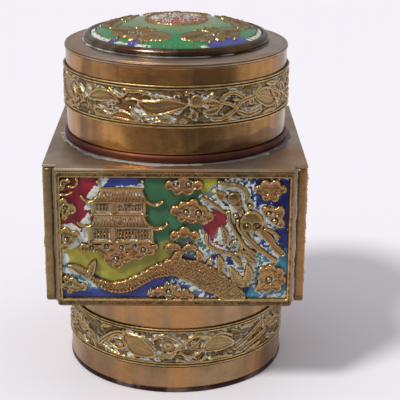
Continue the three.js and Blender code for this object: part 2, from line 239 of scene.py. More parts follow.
def turned(section, sides, open_ends=False):
    """Turns a section of (radius, height) points about Z: a circle extruded ring by ring through them."""
    clear()
    first_radius, first_height = section[0]
    bpy.ops.mesh.primitive_circle_add(vertices=sides, radius=first_radius * MM, location=(0, 0, first_height * MM))
    piece = bpy.context.object
    edit()
    path = list(section) if open_ends else [*section, section[0]]
    for (r0, z0), (r1, z1) in zip(path, path[1:]):
        bpy.ops.mesh.extrude_region_move(TRANSFORM_OT_translate={"value": (0, 0, (z1 - z0) * MM)})
        if abs(r1 - r0) > 1e-9:
            bpy.ops.transform.resize(value=(r1 / r0, r1 / r0, 1), center_override=(0, 0, 0))
    bpy.ops.mesh.select_all(action="SELECT")
    bpy.ops.mesh.remove_doubles(threshold=MERGE)
    if open_ends:
        bpy.ops.mesh.fill_holes(sides=0)
    done(outward=True)
    bpy.ops.object.transform_apply()
    return piece


def rounded(points, radius, steps=3, closed=True):
    """A section with each corner replaced by a small arc, and points that keep the flats between them flat."""
    out = []
    count = len(points)
    for i, here in enumerate(points):
        if not closed and i in (0, count - 1):
            out.append(here)
            continue
        here = Vector(here)
        before, after = Vector(points[i - 1]), Vector(points[(i + 1) % count])
        to_before, to_after = before - here, after - here
        cut = min(radius, to_before.length * CORNER_SHARE, to_after.length * CORNER_SHARE)
        start = here + to_before.normalized() * cut
        end = here + to_after.normalized() * cut
        for k in range(steps + 1):
            t = k / steps
            out.append(tuple(start.lerp(here, t).lerp(here.lerp(end, t), t)))
    held = []
    for i, here in enumerate(out):
        held.append(here)
        if closed or i < len(out) - 1:
            here, after = Vector(here), Vector(out[(i + 1) % len(out)])
            run = after - here
            if run.length > HELD_FROM * radius:
                step = run.normalized() * radius
                held += [tuple(here + step), tuple(after - step)]
    return held


# Relief maps, in millimetres


def ease(x):
    """Smooth step from 0 to 1."""
    x = np.clip(x, 0, 1)
    return x * x * (3 - 2 * x)


def ridge(x, place, width, power=2):
    """A smooth ridge of height 1 at a place."""
    return np.exp(-(((x - place) / width) ** power))


def mixed(first, second, share):
    """Two heights or colours mixed by a share from 0 to 1."""
    return first * (1 - share) + np.array(second) * share


def rectangle(x0, y0, x1, y1):
    return [(x0, y0), (x1, y0), (x1, y1), (x0, y1)]


def blurred(values, cells):
    """A map averaged over this many cells to each side."""
    kernel = np.hanning(2 * cells + 3)[1:-1]
    kernel /= kernel.sum()
    for axis in (0, 1):
        room = [(cells, cells) if a == axis else (0, 0) for a in (0, 1)]
        padded = np.pad(values, room, mode="edge")
        size = values.shape[axis]
        values = sum(w * np.take(padded, np.arange(k, k + size), axis) for k, w in enumerate(kernel))
    return values


def mottle(shape, cells, seed, octaves=3):
    """Smooth random values from 0 to 1 over a map with this many cells along it."""
    rng = np.random.default_rng(seed)
    total, weight = np.zeros(shape), 0
    for octave in range(octaves):
        scale = 2**octave
        counts = [int(cells * scale) + 2, int(cells * scale * shape[1] / shape[0]) + 2]
        lattice = rng.random(counts)
        x, y = (np.linspace(0, n - 1.001, m) for n, m in zip(counts, shape))
        i, j = x.astype(int), y.astype(int)
        s, t = ease(x - i)[:, None], ease(y - j)[None]
        low = lattice[np.ix_(i, j)] * (1 - s) + lattice[np.ix_(i + 1, j)] * s
        high = lattice[np.ix_(i, j + 1)] * (1 - s) + lattice[np.ix_(i + 1, j + 1)] * s
        total += (low * (1 - t) + high * t) / scale
        weight += 1 / scale
    return total / weight


def curve(points, halves, step=0.45):
    """A smooth line through some points, with its half width at each step."""
    points = np.array(points, float)
    halves = np.broadcast_to(np.array(halves, float), len(points))
    padded = np.vstack([2 * points[0] - points[1], points, 2 * points[-1] - points[-2]])
    line, widths = [], []
    for i in range(len(points) - 1):
        p0, p1, p2, p3 = padded[i : i + 4]
        steps = max(2, int(np.hypot(*(p2 - p1)) / step))
        for t in np.arange(steps) / steps:
            square, cube = 2 * p0 - 5 * p1 + 4 * p2 - p3, 3 * p1 - p0 - 3 * p2 + p3
            line.append(0.5 * (2 * p1 + (p2 - p0) * t + square * t**2 + cube * t**3))
            widths.append(halves[i] + (halves[i + 1] - halves[i]) * t)
    line.append(points[-1])
    widths.append(halves[-1])
    return np.array(line), np.array(widths)


def cushion(depth, top, rim=0.12, dish=0.1, wall=0.34):
    """Height of a figure by the distance in from its outline: a steep wall, a raised rim, a dished middle."""
    middle = top - dish * ease((depth - wall) / 0.9)
    return ease(depth / wall) * (middle + rim * ridge(depth, wall + 0.08, wall / 2))


def by_strip(u, v, line, halves):
    """How far in each place is from a strip's edge, how far across its middle, and how far along it."""
    shape = np.broadcast(u, v).shape
    best, across, along, half = (np.full(shape, 1e9), np.zeros(shape), np.zeros(shape), np.zeros(shape))
    run = 0
    for k in range(len(line) - 1):
        dx, dy = line[k + 1] - line[k]
        size = math.hypot(dx, dy)
        if size < 1e-9:
            continue
        t = np.clip(((u - line[k][0]) * dx + (v - line[k][1]) * dy) / size**2, 0, 1)
        ox, oy = u - line[k][0] - t * dx, v - line[k][1] - t * dy
        away = np.hypot(ox, oy)
        closer = away < best
        best = np.where(closer, away, best)
        across = np.where(closer, np.copysign(away, dx * oy - dy * ox), across)
        along = np.where(closer, run + t * size, along)
        half = np.where(closer, halves[k] + t * (halves[k + 1] - halves[k]), half)
        run += size
    return half - best, across, along, half


def by_polygon(u, v, points):
    """How far in each place is from a polygon's outline, negative outside it."""
    shape = np.broadcast(u, v).shape
    away = np.full(shape, 1e9)
    inside = np.zeros(shape, bool)
    for (ax, ay), (bx, by) in zip(points, points[1:] + points[:1]):
        dx, dy = bx - ax, by - ay
        t = np.clip(((u - ax) * dx + (v - ay) * dy) / (dx * dx + dy * dy), 0, 1)
        away = np.minimum(away, np.hypot(u - ax - t * dx, v - ay - t * dy))
        if ay != by:
            crossed = ((ay > v) != (by > v)) & (u < (bx - ax) * (v - ay) / (by - ay) + ax)
            inside ^= crossed
    return np.where(inside, away, -away)


class Relief:
    """A height map of a casting: heights over its ground, and the pale residue that lies in its hollows."""

    def __init__(self, low, high, pitch, closed=False):
        self.low, self.high, self.closed = low, high, closed
        self.columns, self.rows = (max(2, round((b - a) / pitch)) for a, b in zip(low, high))
        self.u = np.linspace(low[0], high[0], self.columns + 1)
        self.v = np.linspace(low[1], high[1], self.rows + 1)
        self.height = np.zeros((self.columns + 1, self.rows + 1))
        self.residue = np.zeros_like(self.height)

    def near(self, points, reach):
        """Each part of the map round some points, with its places. A closed map is searched past its ends."""
        round_about = self.high[0] - self.low[0]
        for turn in (-round_about, 0, round_about) if self.closed else (0,):
            us, vs = [p[0] + turn for p in points], [p[1] for p in points]
            i0, i1 = np.searchsorted(self.u, (min(us) - reach, max(us) + reach))
            j0, j1 = np.searchsorted(self.v, (min(vs) - reach, max(vs) + reach))
            if i1 > i0 and j1 > j0:
                yield (slice(i0, i1), slice(j0, j1)), self.u[i0:i1, None] - turn, self.v[None, j0:j1]

    def around(self, x, y, reach):
        """Each part of the map round a place, with the distances from it."""
        for where, u, v in self.near([(x, y)], reach):
            yield where, np.hypot(u - x, v - y)

    def strip(self, line, halves, reach):
        """Each part of the map round a strip, with what by_strip gives for it."""
        for where, u, v in self.near(line, reach):
            yield where, *by_strip(u, v, line, halves)

    def press(self, where, surface):
        self.height[where] = np.maximum(self.height[where], surface)

    def stain(self, where, amount):
        self.residue[where] = np.maximum(self.residue[where], np.clip(amount, 0, 1))

    def cloud(self, lobes, top, beads):
        """A cloud of round lobes that share one solid body, with beads in sockets."""
        joins = [
            (a, b) for i, a in enumerate(lobes) for b in lobes[:i] if math.dist(a[:2], b[:2]) < a[2] + b[2] + 1.3
        ]
        for where, u, v in self.near(lobes, 3.2):
            first = np.full(np.broadcast(u, v).shape, -9.0)
            second = first.copy()
            for x, y, r in lobes:
                depth = r - np.hypot(u - x, v - y)
                second = np.maximum(second, np.minimum(first, depth))
                first = np.maximum(first, depth)
            lobed = first.copy()
            for a, b in joins:
                neck = by_strip(u, v, np.array([a[:2], b[:2]]), (0.62 * a[2], 0.62 * b[2]))[0]
                first = np.maximum(first, neck)
            crease = ridge(lobed - second, 0, 0.16) * ease(second / 0.3) * ease((0.9 - first) / 0.5)
            inner = 0.07 * ridge(lobed, 0.62, 0.12) * (first > 0.5)
            self.press(where, cushion(first, top, 0.24, 0.28) - 0.2 * crease * ease((first - 0.2) / 0.3) - inner)
        for x, y, r in beads:
            self.bead(x, y, r, top)

    def bead(self, x, y, r, top, ring=0.85):
        """A bead in a round socket, with residue round it."""
        for where, away in self.around(x, y, r + 1.2):
            here = self.height[where]
            socket = np.where(away < r + 0.42, np.minimum(here, top - 0.75), here)
            lip = 0.14 * ridge(away, r + 0.55, 0.16) * (here > 1)
            ball = top - 0.75 + np.sqrt(np.clip(r * r - away * away, 0, None)) * min(1.25, 1.15 / r)
            self.height[where] = np.maximum(socket + lip, np.where(away < r, ball, 0))
            self.stain(where, ring * ridge(away, r + 0.3, 0.2))

    def ribbon(self, points, half, top, grooves=0, rim=0.24, dish=0.3, wall=0.34):
        """A strip along a line with raised edges, and grooves along it."""
        line, halves = curve(points, half)
        for where, depth, across, _, width in self.strip(line, halves, max(halves) + 0.5):
            surface = cushion(depth, top, rim, dish, wall)
            if grooves:
                surface = surface + 0.14 * np.cos(across / np.maximum(width, 0.1) * math.pi * grooves) * (depth > 0.3)
            self.press(where, surface)

    def stem(self, points, half, top, pale=0.0):
        """A round-backed line, which may be pale with residue."""
        line, halves = curve(points, half)
        for where, depth, across, _, width in self.strip(line, halves, max(halves) + 0.3):
            back = np.sqrt(np.clip(1 - (across / np.maximum(width, 0.05)) ** 2, 0, 1))
            self.press(where, np.where(depth > 0, top * (0.55 + 0.45 * back) * ease(depth / 0.12), 0))
            self.stain(where, pale * (depth > 0))

    def leaf(self, points, half, top, veins=0.1, rim=0.2, dish=0.26, wall=0.34):
        """A pointed leaf along a line, with a middle vein and side veins."""
        line, _ = curve(points, half)
        share = np.linspace(0, 1, len(line))
        halves = half * np.clip(np.sin(math.pi * (0.03 + 0.95 * share**0.85)), 0.06, 1) ** 0.7
        for where, depth, across, along, _ in self.strip(line, halves, half + 0.5):
            side = np.cos(2 * math.pi * (along - 0.9 * np.abs(across)) / 0.95)
            vein = (veins * side + 0.14 * ridge(across, 0, 0.16)) * (depth > 0.35)
            self.press(where, cushion(depth, top, rim, dish, wall) + vein)

    def block(self, points, top, rim=0.16, dish=0.12):
        """A flat figure by its outline."""
        for where, u, v in self.near(points, 0.4):
            self.press(where, cushion(by_polygon(u, v, points), top, rim, dish, 0.25))

    def sink(self, points, floor):
        """A window cut down to a floor, with residue along its edges."""
        for where, u, v in self.near(points, 0.3):
            depth = by_polygon(u, v, points)
            self.height[where] = mixed(self.height[where], floor, ease(depth / 0.25))
            self.stain(where, 0.95 * ridge(depth, 0.32, 0.2))

    def boss(self, x, y, r, top, rise):
        """A round boss with a low dome."""
        for where, away in self.around(x, y, r + 0.4):
            dome = top + rise * np.clip(1 - (away / r) ** 2, 0, 1)
            self.press(where, dome * ease((r - away) / 0.35))

    def wear(self, deep=1.0):
        """Residue, hollows and rubbed edges of the map, each from 0 to 1, for relief this deep. The hollows are dark
        tarnish and painted shade; the raised edges are wear and painted highlight.
        """
        cell = self.u[1] - self.u[0]
        near = blurred(self.height, max(2, round(0.75 / cell)))
        # Hollow: lower than the blurred surroundings; tarnish and painted shade in the crevices.
        hollow = np.clip((near - self.height) / (0.4 * deep), 0, 1)
        # Raised above the blurred surroundings: rubbed wear and painted highlight on the edges.
        rub_and_glint = np.clip((self.height - near) / (0.6 * deep) - 0.1, 0, 1)
        return np.stack([np.clip(self.residue, 0, 1), hollow, rub_and_glint], axis=-1)

    def at(self, values, u, v):
        """Values of a map at the vertices that were made from it."""
        i = np.clip(np.rint((u - self.low[0]) / (self.high[0] - self.low[0]) * self.columns), 0, self.columns)
        j = np.clip(np.rint((v - self.low[1]) / (self.high[1] - self.low[1]) * self.rows), 0, self.rows)
        return values[i.astype(int), j.astype(int)]


# The panel's picture: places in millimetres from the middle of the enamelled field. A cloud is its lobes and its
# beads, each with a radius. The spine, loose lines, ribbons and leaves have half widths, and a ribbon ends with its
# number of grooves. The picture is areas of enamel. Residue lies thick in the crusted areas, and in the patches at
# the figures' edges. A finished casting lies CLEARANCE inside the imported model.

FIELD_MIDDLE = 54.25
FIELD = (-34.5, -19.85, 34.5, 19.45)
FRAME_FACE = 1.9
ENAMEL_LEVEL = 0.75
RELIEF_TOP = 2.46
CLEARANCE = 0.04

CLOUDS = [
    ([(-33.3, 17.8, 1.2), (-31.9, 18.3, 0.9), (-33.9, 16.2, 1.1)], [(-33.0, 17.5, 0.5)]),
    ([(-33.5, 11.8, 1.3), (-31.2, 9.4, 1.8), (-33.3, 6.8, 1.1), (-34.0, 9.4, 1.1)], [(-32.9, 9.8, 0.55)]),
    ([(-33.1, 2.2, 1.6), (-30.3, 1.2, 1.6), (-33.2, -2.5, 1.5), (-31.4, -0.6, 1.4)], [(-33.0, -0.4, 0.75)]),
    (
        [(-33.3, -13.1, 1.2), (-31.3, -14.3, 1.7), (-28.2, -15.9, 1.4), (-33.2, -15.5, 1.5), (-32.3, -17.2, 1.1),
         (-30.2, -16.3, 1.3)],
        [(-32.2, -14.9, 0.5)],
    ),
    (
        [(-27.9, -2.8, 1.3), (-28.0, -4.1, 0.9), (-24.0, -3.4, 1.4), (-20.2, -6.4, 1.8), (-17.5, -8.0, 2.0),
         (-14.5, -6.4, 1.5), (-10.7, -5.3, 1.6), (-7.3, -4.1, 1.5), (-6.0, -2.5, 1.1), (-21.3, -3.3, 2.1),
         (-17.1, -3.1, 2.5), (-12.4, -2.9, 2.1), (-8.8, -2.7, 1.9), (-25.5, -2.8, 1.5)],
        [(-25.2, -3.0, 0.55), (-20.7, -2.6, 0.65), (-16.3, -3.0, 0.65), (-12.3, -2.5, 0.55), (-9.6, -3.6, 0.65),
         (-17.9, -6.6, 0.8)],
    ),
    (
        [(-7.4, -18.0, 1.3), (-4.9, -17.3, 1.7), (-2.0, -15.8, 1.7), (0.5, -16.6, 1.6), (3.1, -17.9, 1.5),
         (4.9, -18.9, 1.3), (-1.7, -18.0, 1.9), (1.0, -18.6, 1.6)],
        [(-7.5, -16.9, 0.45), (-1.9, -14.9, 0.5), (-1.9, -17.5, 0.8), (0.9, -16.0, 0.4)],
    ),
    (
        [(-1.7, 17.1, 1.6), (0.8, 15.6, 1.7), (4.0, 15.6, 1.8), (7.0, 17.2, 1.6), (2.5, 17.6, 2.4)],
        [(0.3, 17.3, 0.7), (4.1, 17.4, 0.8)],
    ),
    (
        [(0.0, 9.0, 1.7), (2.3, 10.6, 1.6), (5.5, 11.3, 1.7), (8.4, 9.2, 1.6), (10.3, 7.2, 1.7), (2.1, 6.9, 1.6),
         (5.2, 6.3, 1.6), (8.2, 6.1, 1.5), (5.1, 8.6, 2.4)],
        [(3.4, 8.5, 0.85), (7.1, 8.2, 0.95)],
    ),
    ([(-0.2, 1.0, 1.6), (2.9, 2.2, 2.0), (6.0, 1.0, 1.6)], []),
    (
        [(24.9, 15.9, 1.4), (27.0, 17.2, 1.8), (30.0, 17.3, 1.8), (32.4, 15.9, 1.3), (27.3, 13.6, 1.5),
         (29.9, 13.4, 1.5), (28.6, 15.7, 2.4)],
        [],
    ),
    (
        [(27.4, 9.3, 1.5), (31.5, 8.9, 1.8), (31.9, 5.2, 1.5), (29.4, 7.1, 1.7)],
        [(28.3, 8.0, 0.85), (30.1, 5.9, 0.95)],
    ),
    (
        [(26.7, -10.2, 1.4), (29.5, -9.5, 1.5), (32.1, -10.9, 1.6), (33.0, -13.3, 1.4), (31.4, -15.7, 1.6),
         (28.3, -15.9, 1.7), (25.7, -16.4, 1.3), (28.9, -13.3, 2.6), (26.7, -12.6, 1.7)],
        [(28.9, -13.3, 0.95)],
    ),
]
SPINE = [
    (-25.7, -12.6, 1.0), (-24.0, -14.1, 1.4), (-21.9, -15.3, 1.7), (-19.2, -16.0, 2.0), (-16.6, -16.1, 2.2),
    (-13.9, -15.4, 2.2), (-11.6, -14.1, 2.2), (-9.2, -12.6, 2.2), (-6.6, -11.2, 2.3), (-3.5, -10.2, 2.5),
    (-0.4, -9.4, 3.3), (3.4, -9.9, 3.6), (7.4, -11.6, 4.0), (11.8, -14.2, 4.2), (16.2, -17.0, 3.5),
    (19.6, -19.4, 2.6),
]
LOOSE_LINES = [
    ([(-29.4, 19.0), (-29.2, 17.4), (-30.4, 16.4), (-31.8, 16.6)], 0.42),
    ([(-34.2, 14.0), (-32.4, 14.0), (-30.8, 14.8)], 0.42),
    ([(-25.1, 11.6), (-26.3, 11.7), (-27.4, 12.6), (-28.1, 13.6)], 0.45),
    ([(-8.7, 12.0), (-7.0, 11.0), (-5.3, 10.8), (-3.7, 11.9)], 0.5),
    ([(-25.5, 3.8), (-26.8, 3.8), (-28.3, 4.2), (-29.4, 5.1)], 0.45),
    ([(-8.0, 3.9), (-5.9, 3.1), (-4.0, 3.4), (-2.3, 4.7)], 0.5),
    ([(-22.1, 15.4), (-20.8, 13.8), (-19.5, 12.8), (-18.2, 13.9)], 0.45),
    ([(-19.2, 7.0), (-18.7, 4.6)], 0.4),
    ([(-17.9, 6.7), (-17.4, 5.1), (-16.1, 4.6), (-14.4, 5.9)], 0.45),
]
RIBBONS = [
    ([(8.1, 13.1), (10.5, 11.9), (12.6, 10.4), (14.1, 9.0), (15.9, 8.1)], 0.6, 0),
    ([(13.2, 18.1), (15.9, 17.3), (18.9, 17.0), (21.1, 15.4), (21.9, 13.4), (21.4, 11.8)], 0.75, 0),
    ([(16.1, 8.8), (16.3, 6.1), (18.1, 2.6), (19.7, -0.1), (21.5, -2.7), (24.3, -4.6)], 0.75, 1),
    ([(18.9, 6.6), (19.0, 4.0), (20.8, 1.2), (23.4, -1.6), (25.2, -3.4)], 0.7, 1),
    ([(20.2, 4.6), (20.7, 2.4), (22.4, 0.2), (25.2, -2.7), (28.1, -5.1), (30.7, -6.9)], 0.8, 1),
    ([(26.6, 2.4), (29.2, -0.4), (30.0, -2.0), (32.6, -4.6)], 1.25, 3),
    ([(9.5, 1.6), (9.7, -1.3), (10.8, -2.6), (13.2, -3.9), (16.1, -4.6), (18.5, -4.9), (20.0, -3.7), (20.4, -1.4)],
     0.7, 0),
    ([(18.4, 12.9), (19.2, 10.9), (20.3, 8.6), (21.2, 7.2)], 0.5, 0),
]
LEAVES = [
    ([(-25.5, -12.2), (-28.1, -11.0), (-30.6, -9.5), (-33.0, -8.7)], 1.4),
    ([(-25.5, -12.4), (-25.4, -9.9), (-24.2, -6.8)], 1.35),
    ([(14.0, 4.4), (15.4, 1.0), (15.2, -2.6)], 1.15),
    ([(16.4, -2.6), (17.6, -1.2), (19.0, 0.0)], 0.75),
    ([(26.6, 3.8), (29.6, 2.2), (32.8, 0.2)], 0.8),
    ([(7.0, -7.4), (7.6, -5.6), (6.6, -3.6)], 1.3),
    ([(9.2, -9.0), (10.4, -7.0), (11.4, -5.6)], 0.7),
    ([(13.9, -10.9), (14.0, -7.9), (13.2, -5.0)], 1.35),
    ([(21.2, -15.6), (18.8, -12.9), (16.8, -9.0)], 1.7),
    ([(21.2, -15.6), (22.7, -11.7), (22.0, -8.0)], 1.7),
    ([(16.8, -4.8), (19.2, -7.0), (20.3, -9.6)], 1.0),
    ([(20.4, -4.4), (22.6, -6.6), (25.2, -8.3)], 1.1),
    ([(19.6, -3.4), (22.4, -4.6), (24.8, -6.0)], 0.9),
    ([(-1.0, -9.0), (0.6, -6.0), (1.9, -3.0)], 1.7),
    ([(-3.4, -3.6), (-1.2, -2.5), (1.0, -2.9), (1.8, -5.0)], 1.3),
    ([(7.0, -3.2), (4.8, -2.6), (3.2, -3.2), (2.0, -5.4)], 1.2),
]
BEADS = [(-23.2, 18.0, 0.65, 1.9), (-9.7, 18.1, 0.65, 1.9), (22.6, 10.5, 1.0, 2.1), (18.3, 7.5, 0.9, 2.1)]
PICTURE = [
    ("crimson", [(-36, 21), (-20.8, 21), (-20.8, 2.2), (-30, 0.5), (-36, 1.5)]),
    ("green", [(-9.5, 21), (5.6, 21), (7.4, 14.2), (9.0, 12.5), (6.6, 6.0), (12, -0.5), (12.4, -5.2), (7, -6.4),
               (-1, -1.2), (-7, -1.6), (-10, 4)]),
    ("blue", [(-22.6, 21), (-9.2, 21), (-9.6, 14), (-22.6, 14)]),
    ("yellow", [(-36, -3.4), (-28, -3), (-6, -2), (-2.4, -0.8), (1.5, -1.6), (2.2, -7), (-4, -8.6), (-12, -13),
                (-19, -15.2), (-24, -12.6), (-28, -9.6), (-36, -7.4)]),
    ("yellow", [(5.4, 21), (13.2, 21), (13.0, 17.4), (10.8, 15.6), (12.4, 12.4), (8.2, 12.9), (7.6, 14.6)]),
    ("crimson", [(7.4, 12.0), (16.0, 8.2), (17.2, 3.0), (16.0, -3.2), (11.0, -2.4), (9.0, 2.2), (7.0, 5.2),
                 (10.8, 6.0)]),
    ("teal", [(24, -3), (36, -2.5), (36, -21), (20, -21), (24, -16)]),
    ("teal", [(-36, -8.0), (-30, -10), (-25.6, -13.6), (-21.6, -16.2), (-24, -17.4), (-36, -14)]),
    ("cobalt", [(8, -5), (15, -4), (24, -5), (24, -14), (14, -12), (8, -9)]),
]
CRUSTED = [
    [(-2, -0.4), (3, -0.6), (7, 2), (9, 5), (8, 12), (7, 13.6), (11, 16.5), (18, 19.4), (24, 18), (25, 11.5), (30, 11),
     (33, 3.5), (30, 2.4), (33, -4), (31, -8.5), (25, -9.6), (24, -16.4), (18, -14.6), (11, -9.6), (6, -6.4),
     (0, -5.6)],
    [(2, -11.8), (8, -15.4), (12, -19.9), (8, -20), (4, -16), (-3, -13.6), (-5, -14.8)],
    [(22, -14), (24, -19), (34, -19.6), (34, -17.4), (27, -17.6), (24, -15)],
    [(-36, -8.6), (-28, -12.8), (-24, -16.4), (-27, -17.4), (-31, -12.8), (-36, -12.4)],
]
CLEAR_RED = [
    (10.6, 9.6), (15.2, 8.2), (15.6, 4.4), (13.0, 3.4), (11.8, 0.6), (9.8, 1.6), (8.0, 3.4), (10.8, 5.6), (12.2, 7.4),
]
PATCHES = [
    [(-34.4, -5.0), (-32.8, -5.4), (-32.2, -7.0), (-32.6, -8.6), (-34.4, -8.8)],
    [(-34.4, 4.4), (-31.0, 4.6), (-28.6, 3.0), (-27.9, 0.2), (-28.4, -1.8), (-30.8, -3.6), (-34.4, -4.6)],
    [(-26.8, 12.6), (-24.4, 16.4), (-21.8, 16.6), (-23.4, 13.8), (-25.4, 12.2)],
    [(-27.6, 9.0), (-26.2, 11.4), (-25.2, 11.4), (-25.4, 8.8)],
    [(-29.2, 4.4), (-26.2, 7.8), (-25.4, 7.4), (-25.6, 4.2)],
    [(-30.6, -1.4), (-27.4, 3.4), (-26.0, 3.2), (-26.2, -1.4)],
    [(-23.0, 16.4), (-22.6, 19.2), (-19.8, 19.0), (-21.4, 16.4)],
    [(-22.4, 16.2), (-12, 16.8), (-9.4, 17.6), (-9.4, 16.0)],
    [(-34.4, -9.6), (-30, -10.6), (-25.0, -14.4), (-22.4, -16.4), (-25.2, -16.0), (-29, -12.4), (-34.4, -11.4)],
]


def draw_pagoda(map_):
    """Two storeys under ribbed roofs, with their windows, posts, ridges and eaves."""
    for storey in ((-25.2, 7.5, -8.8, 12.0), (-26.2, -1.3, -6.4, 4.0)):
        map_.block(rectangle(*storey), 1.85, 0.1, 0.05)
    for window in ((-24.3, 8.2, -19.2, 11.3), (-17.7, 8.2, -9.7, 11.4), (-24.9, -0.7, -19.5, 3.3),
                   (-18.0, -0.7, -7.5, 3.4)):
        outline = rectangle(*window)
        map_.sink(outline, 0.95)
        for where, u, v in map_.near(outline, 0):
            bars = np.maximum(np.cos(2 * math.pi * u / 0.95), 0.8 * np.cos(2 * math.pi * (v - u * 0.15) / 1.5))
            map_.height[where] += 0.6 * np.clip(bars, 0, 1) * ease((by_polygon(u, v, outline) - 0.45) / 0.25)
    for roof in ([(-21.9, 15.7), (-9.9, 15.7), (-8.9, 13.6), (-7.9, 11.9), (-25.4, 12.0), (-23.4, 13.9)],
                 [(-24.4, 7.6), (-9.1, 7.6), (-8.3, 5.6), (-7.3, 4.0), (-26.2, 4.0), (-25.0, 5.7)]):
        map_.block(roof, 2.05, 0.14, 0.08)
        (x0, top), (x1, _), low = roof[0], roof[1], roof[3][1]
        for where, u, v in map_.near(roof, 0):
            depth = by_polygon(u, v, roof)
            ribs = np.cos(2 * math.pi * (u - (x0 + x1) / 2) * (1 - 0.035 * (top - v)) / 0.9)
            map_.height[where] += 0.2 * ribs * ease((depth - 0.25) / 0.2)
            map_.stain(where, 0.9 * ease(-1.4 * ribs) * ease(v - low - 0.9) * (depth > 0.3))
    for x0, x1, y, half in ((-22.3, -9.6, 15.7, 0.36), (-25.6, -8.2, 11.9, 0.4), (-25.4, -8.4, 7.6, 0.34),
                            (-26.2, -7.4, 3.9, 0.45), (-26.4, -6.4, -1.2, 0.36)):
        map_.stem([(x0, y), (x1, y)], half, 2.32)
    for y0, y1, posts in ((7.8, 11.8, (-25.0, -18.45, -9.1)), (-1.0, 3.8, (-25.9, -18.75, -6.8))):
        for x in posts:
            map_.stem([(x, y0), (x, y1)], 0.42, 2.1)
    map_.stem([(-15.4, -0.4), (-15.4, 1.4), (-14.2, 2.5), (-12.4, 2.5), (-11.4, 1.4), (-11.4, -0.4)], 0.24, 1.6)
    for points, half in LOOSE_LINES:
        map_.stem(points, half, 2.25)


# The dragon's scales and comb, and the middle of the round plaque behind its head, in millimetres

SCALE_LONG, SCALE_WIDE = 0.95, 0.66
COMB_PITCH = 1.05
BELLY_LONG = 26
PLAQUE = (23.2, 5.4)


def draw_dragon(map_):
    """The dragon: a scaled body with a comb along its belly, a coiled neck, head, limbs and fins."""
    line, halves = curve([p[:2] for p in SPINE], [p[2] for p in SPINE])
    for where, depth, across, along, _ in map_.strip(line, halves, 4):
        shape = depth.shape
        belly = (across < 0) & (along < BELLY_LONG)
        warp, slip = mottle(shape, 26, 51) - 0.5, mottle(shape, 26, 52) - 0.5
        depth = depth + np.where(belly, 0.3 * np.cos(2 * math.pi * along / COMB_PITCH), 0.9 * warp)
        side = across + warp * 1.2
        row = np.rint(side / SCALE_WIDE)
        shift = (along + 0.35 * across + slip * 1.8) / SCALE_LONG + 0.5 * (row % 2)
        away = np.hypot((shift - np.rint(shift)) * 0.8, side - row * SCALE_WIDE)
        scales = (0.3 + 0.5 * mottle(shape, 60, 54)) * np.clip(1 - (away / 0.4) ** 2, 0, 1)
        comb = 0.7 * ease(0.5 + 0.6 * np.cos(2 * math.pi * (along + 0.3 * across) / COMB_PITCH))
        edge = ease((1.7 - depth) / 0.3) * belly
        surface = 1.65 + scales * (1 - edge) + comb * edge
        map_.press(where, np.where(depth > 0, surface * ease(depth / 0.7 + 0.25), 0))
        between = ease((0.1 - scales) / 0.1) * ease((mottle(shape, 30, 53) - 0.52) / 0.1)
        map_.stain(where, 0.6 * between * (depth > 0.3))
    for points, half, grooves in RIBBONS:
        map_.ribbon(points, half, 2.05, grooves)
    for points, half in LEAVES:
        map_.leaf(points, half, 2.05)
    map_.block([(11.3, 15.8), (13.0, 15.6), (15.6, 14.7), (14.9, 12.9), (14.3, 11.6), (12.6, 13.1)], 1.95)
    for x, y, r in ((17.7, 12.9, 2.3), (18.8, 10.9, 1.6), (19.9, 9.1, 1.0)):
        map_.boss(x, y, r, 1.8, 0.6)
    x, y = PLAQUE
    map_.boss(x, y, 3.6, 1.75, 0.5)
    map_.stem([(x + 3.4 * math.cos(a), y + 3.4 * math.sin(a)) for a in np.linspace(-1.2, 4.2, 15)], 0.34, 2.3)
    y -= 1.2
    for hand in (-1, 1):
        for where, away in map_.around(x + 1.5 * hand, y, 1.7):
            map_.height[where] -= 0.5 * ease((1.5 - away) / 0.4)
        swirl = [(a, 0.2 + 0.19 * a) for a in np.linspace(0, 6.2, 12)]
        map_.stem([(x + hand * (1.5 + r * math.cos(a)), y + r * math.sin(a)) for a, r in swirl], 0.26, 2.3)
    for bead in BEADS:
        map_.bead(*bead)
    for x in (27.3, 30.4):
        for where, away in map_.around(x, 15.0, 1.6):
            map_.height[where] += 0.14 * ridge(away, 1.15, 0.2) - 0.35 * ease((1.0 - away) / 0.5)


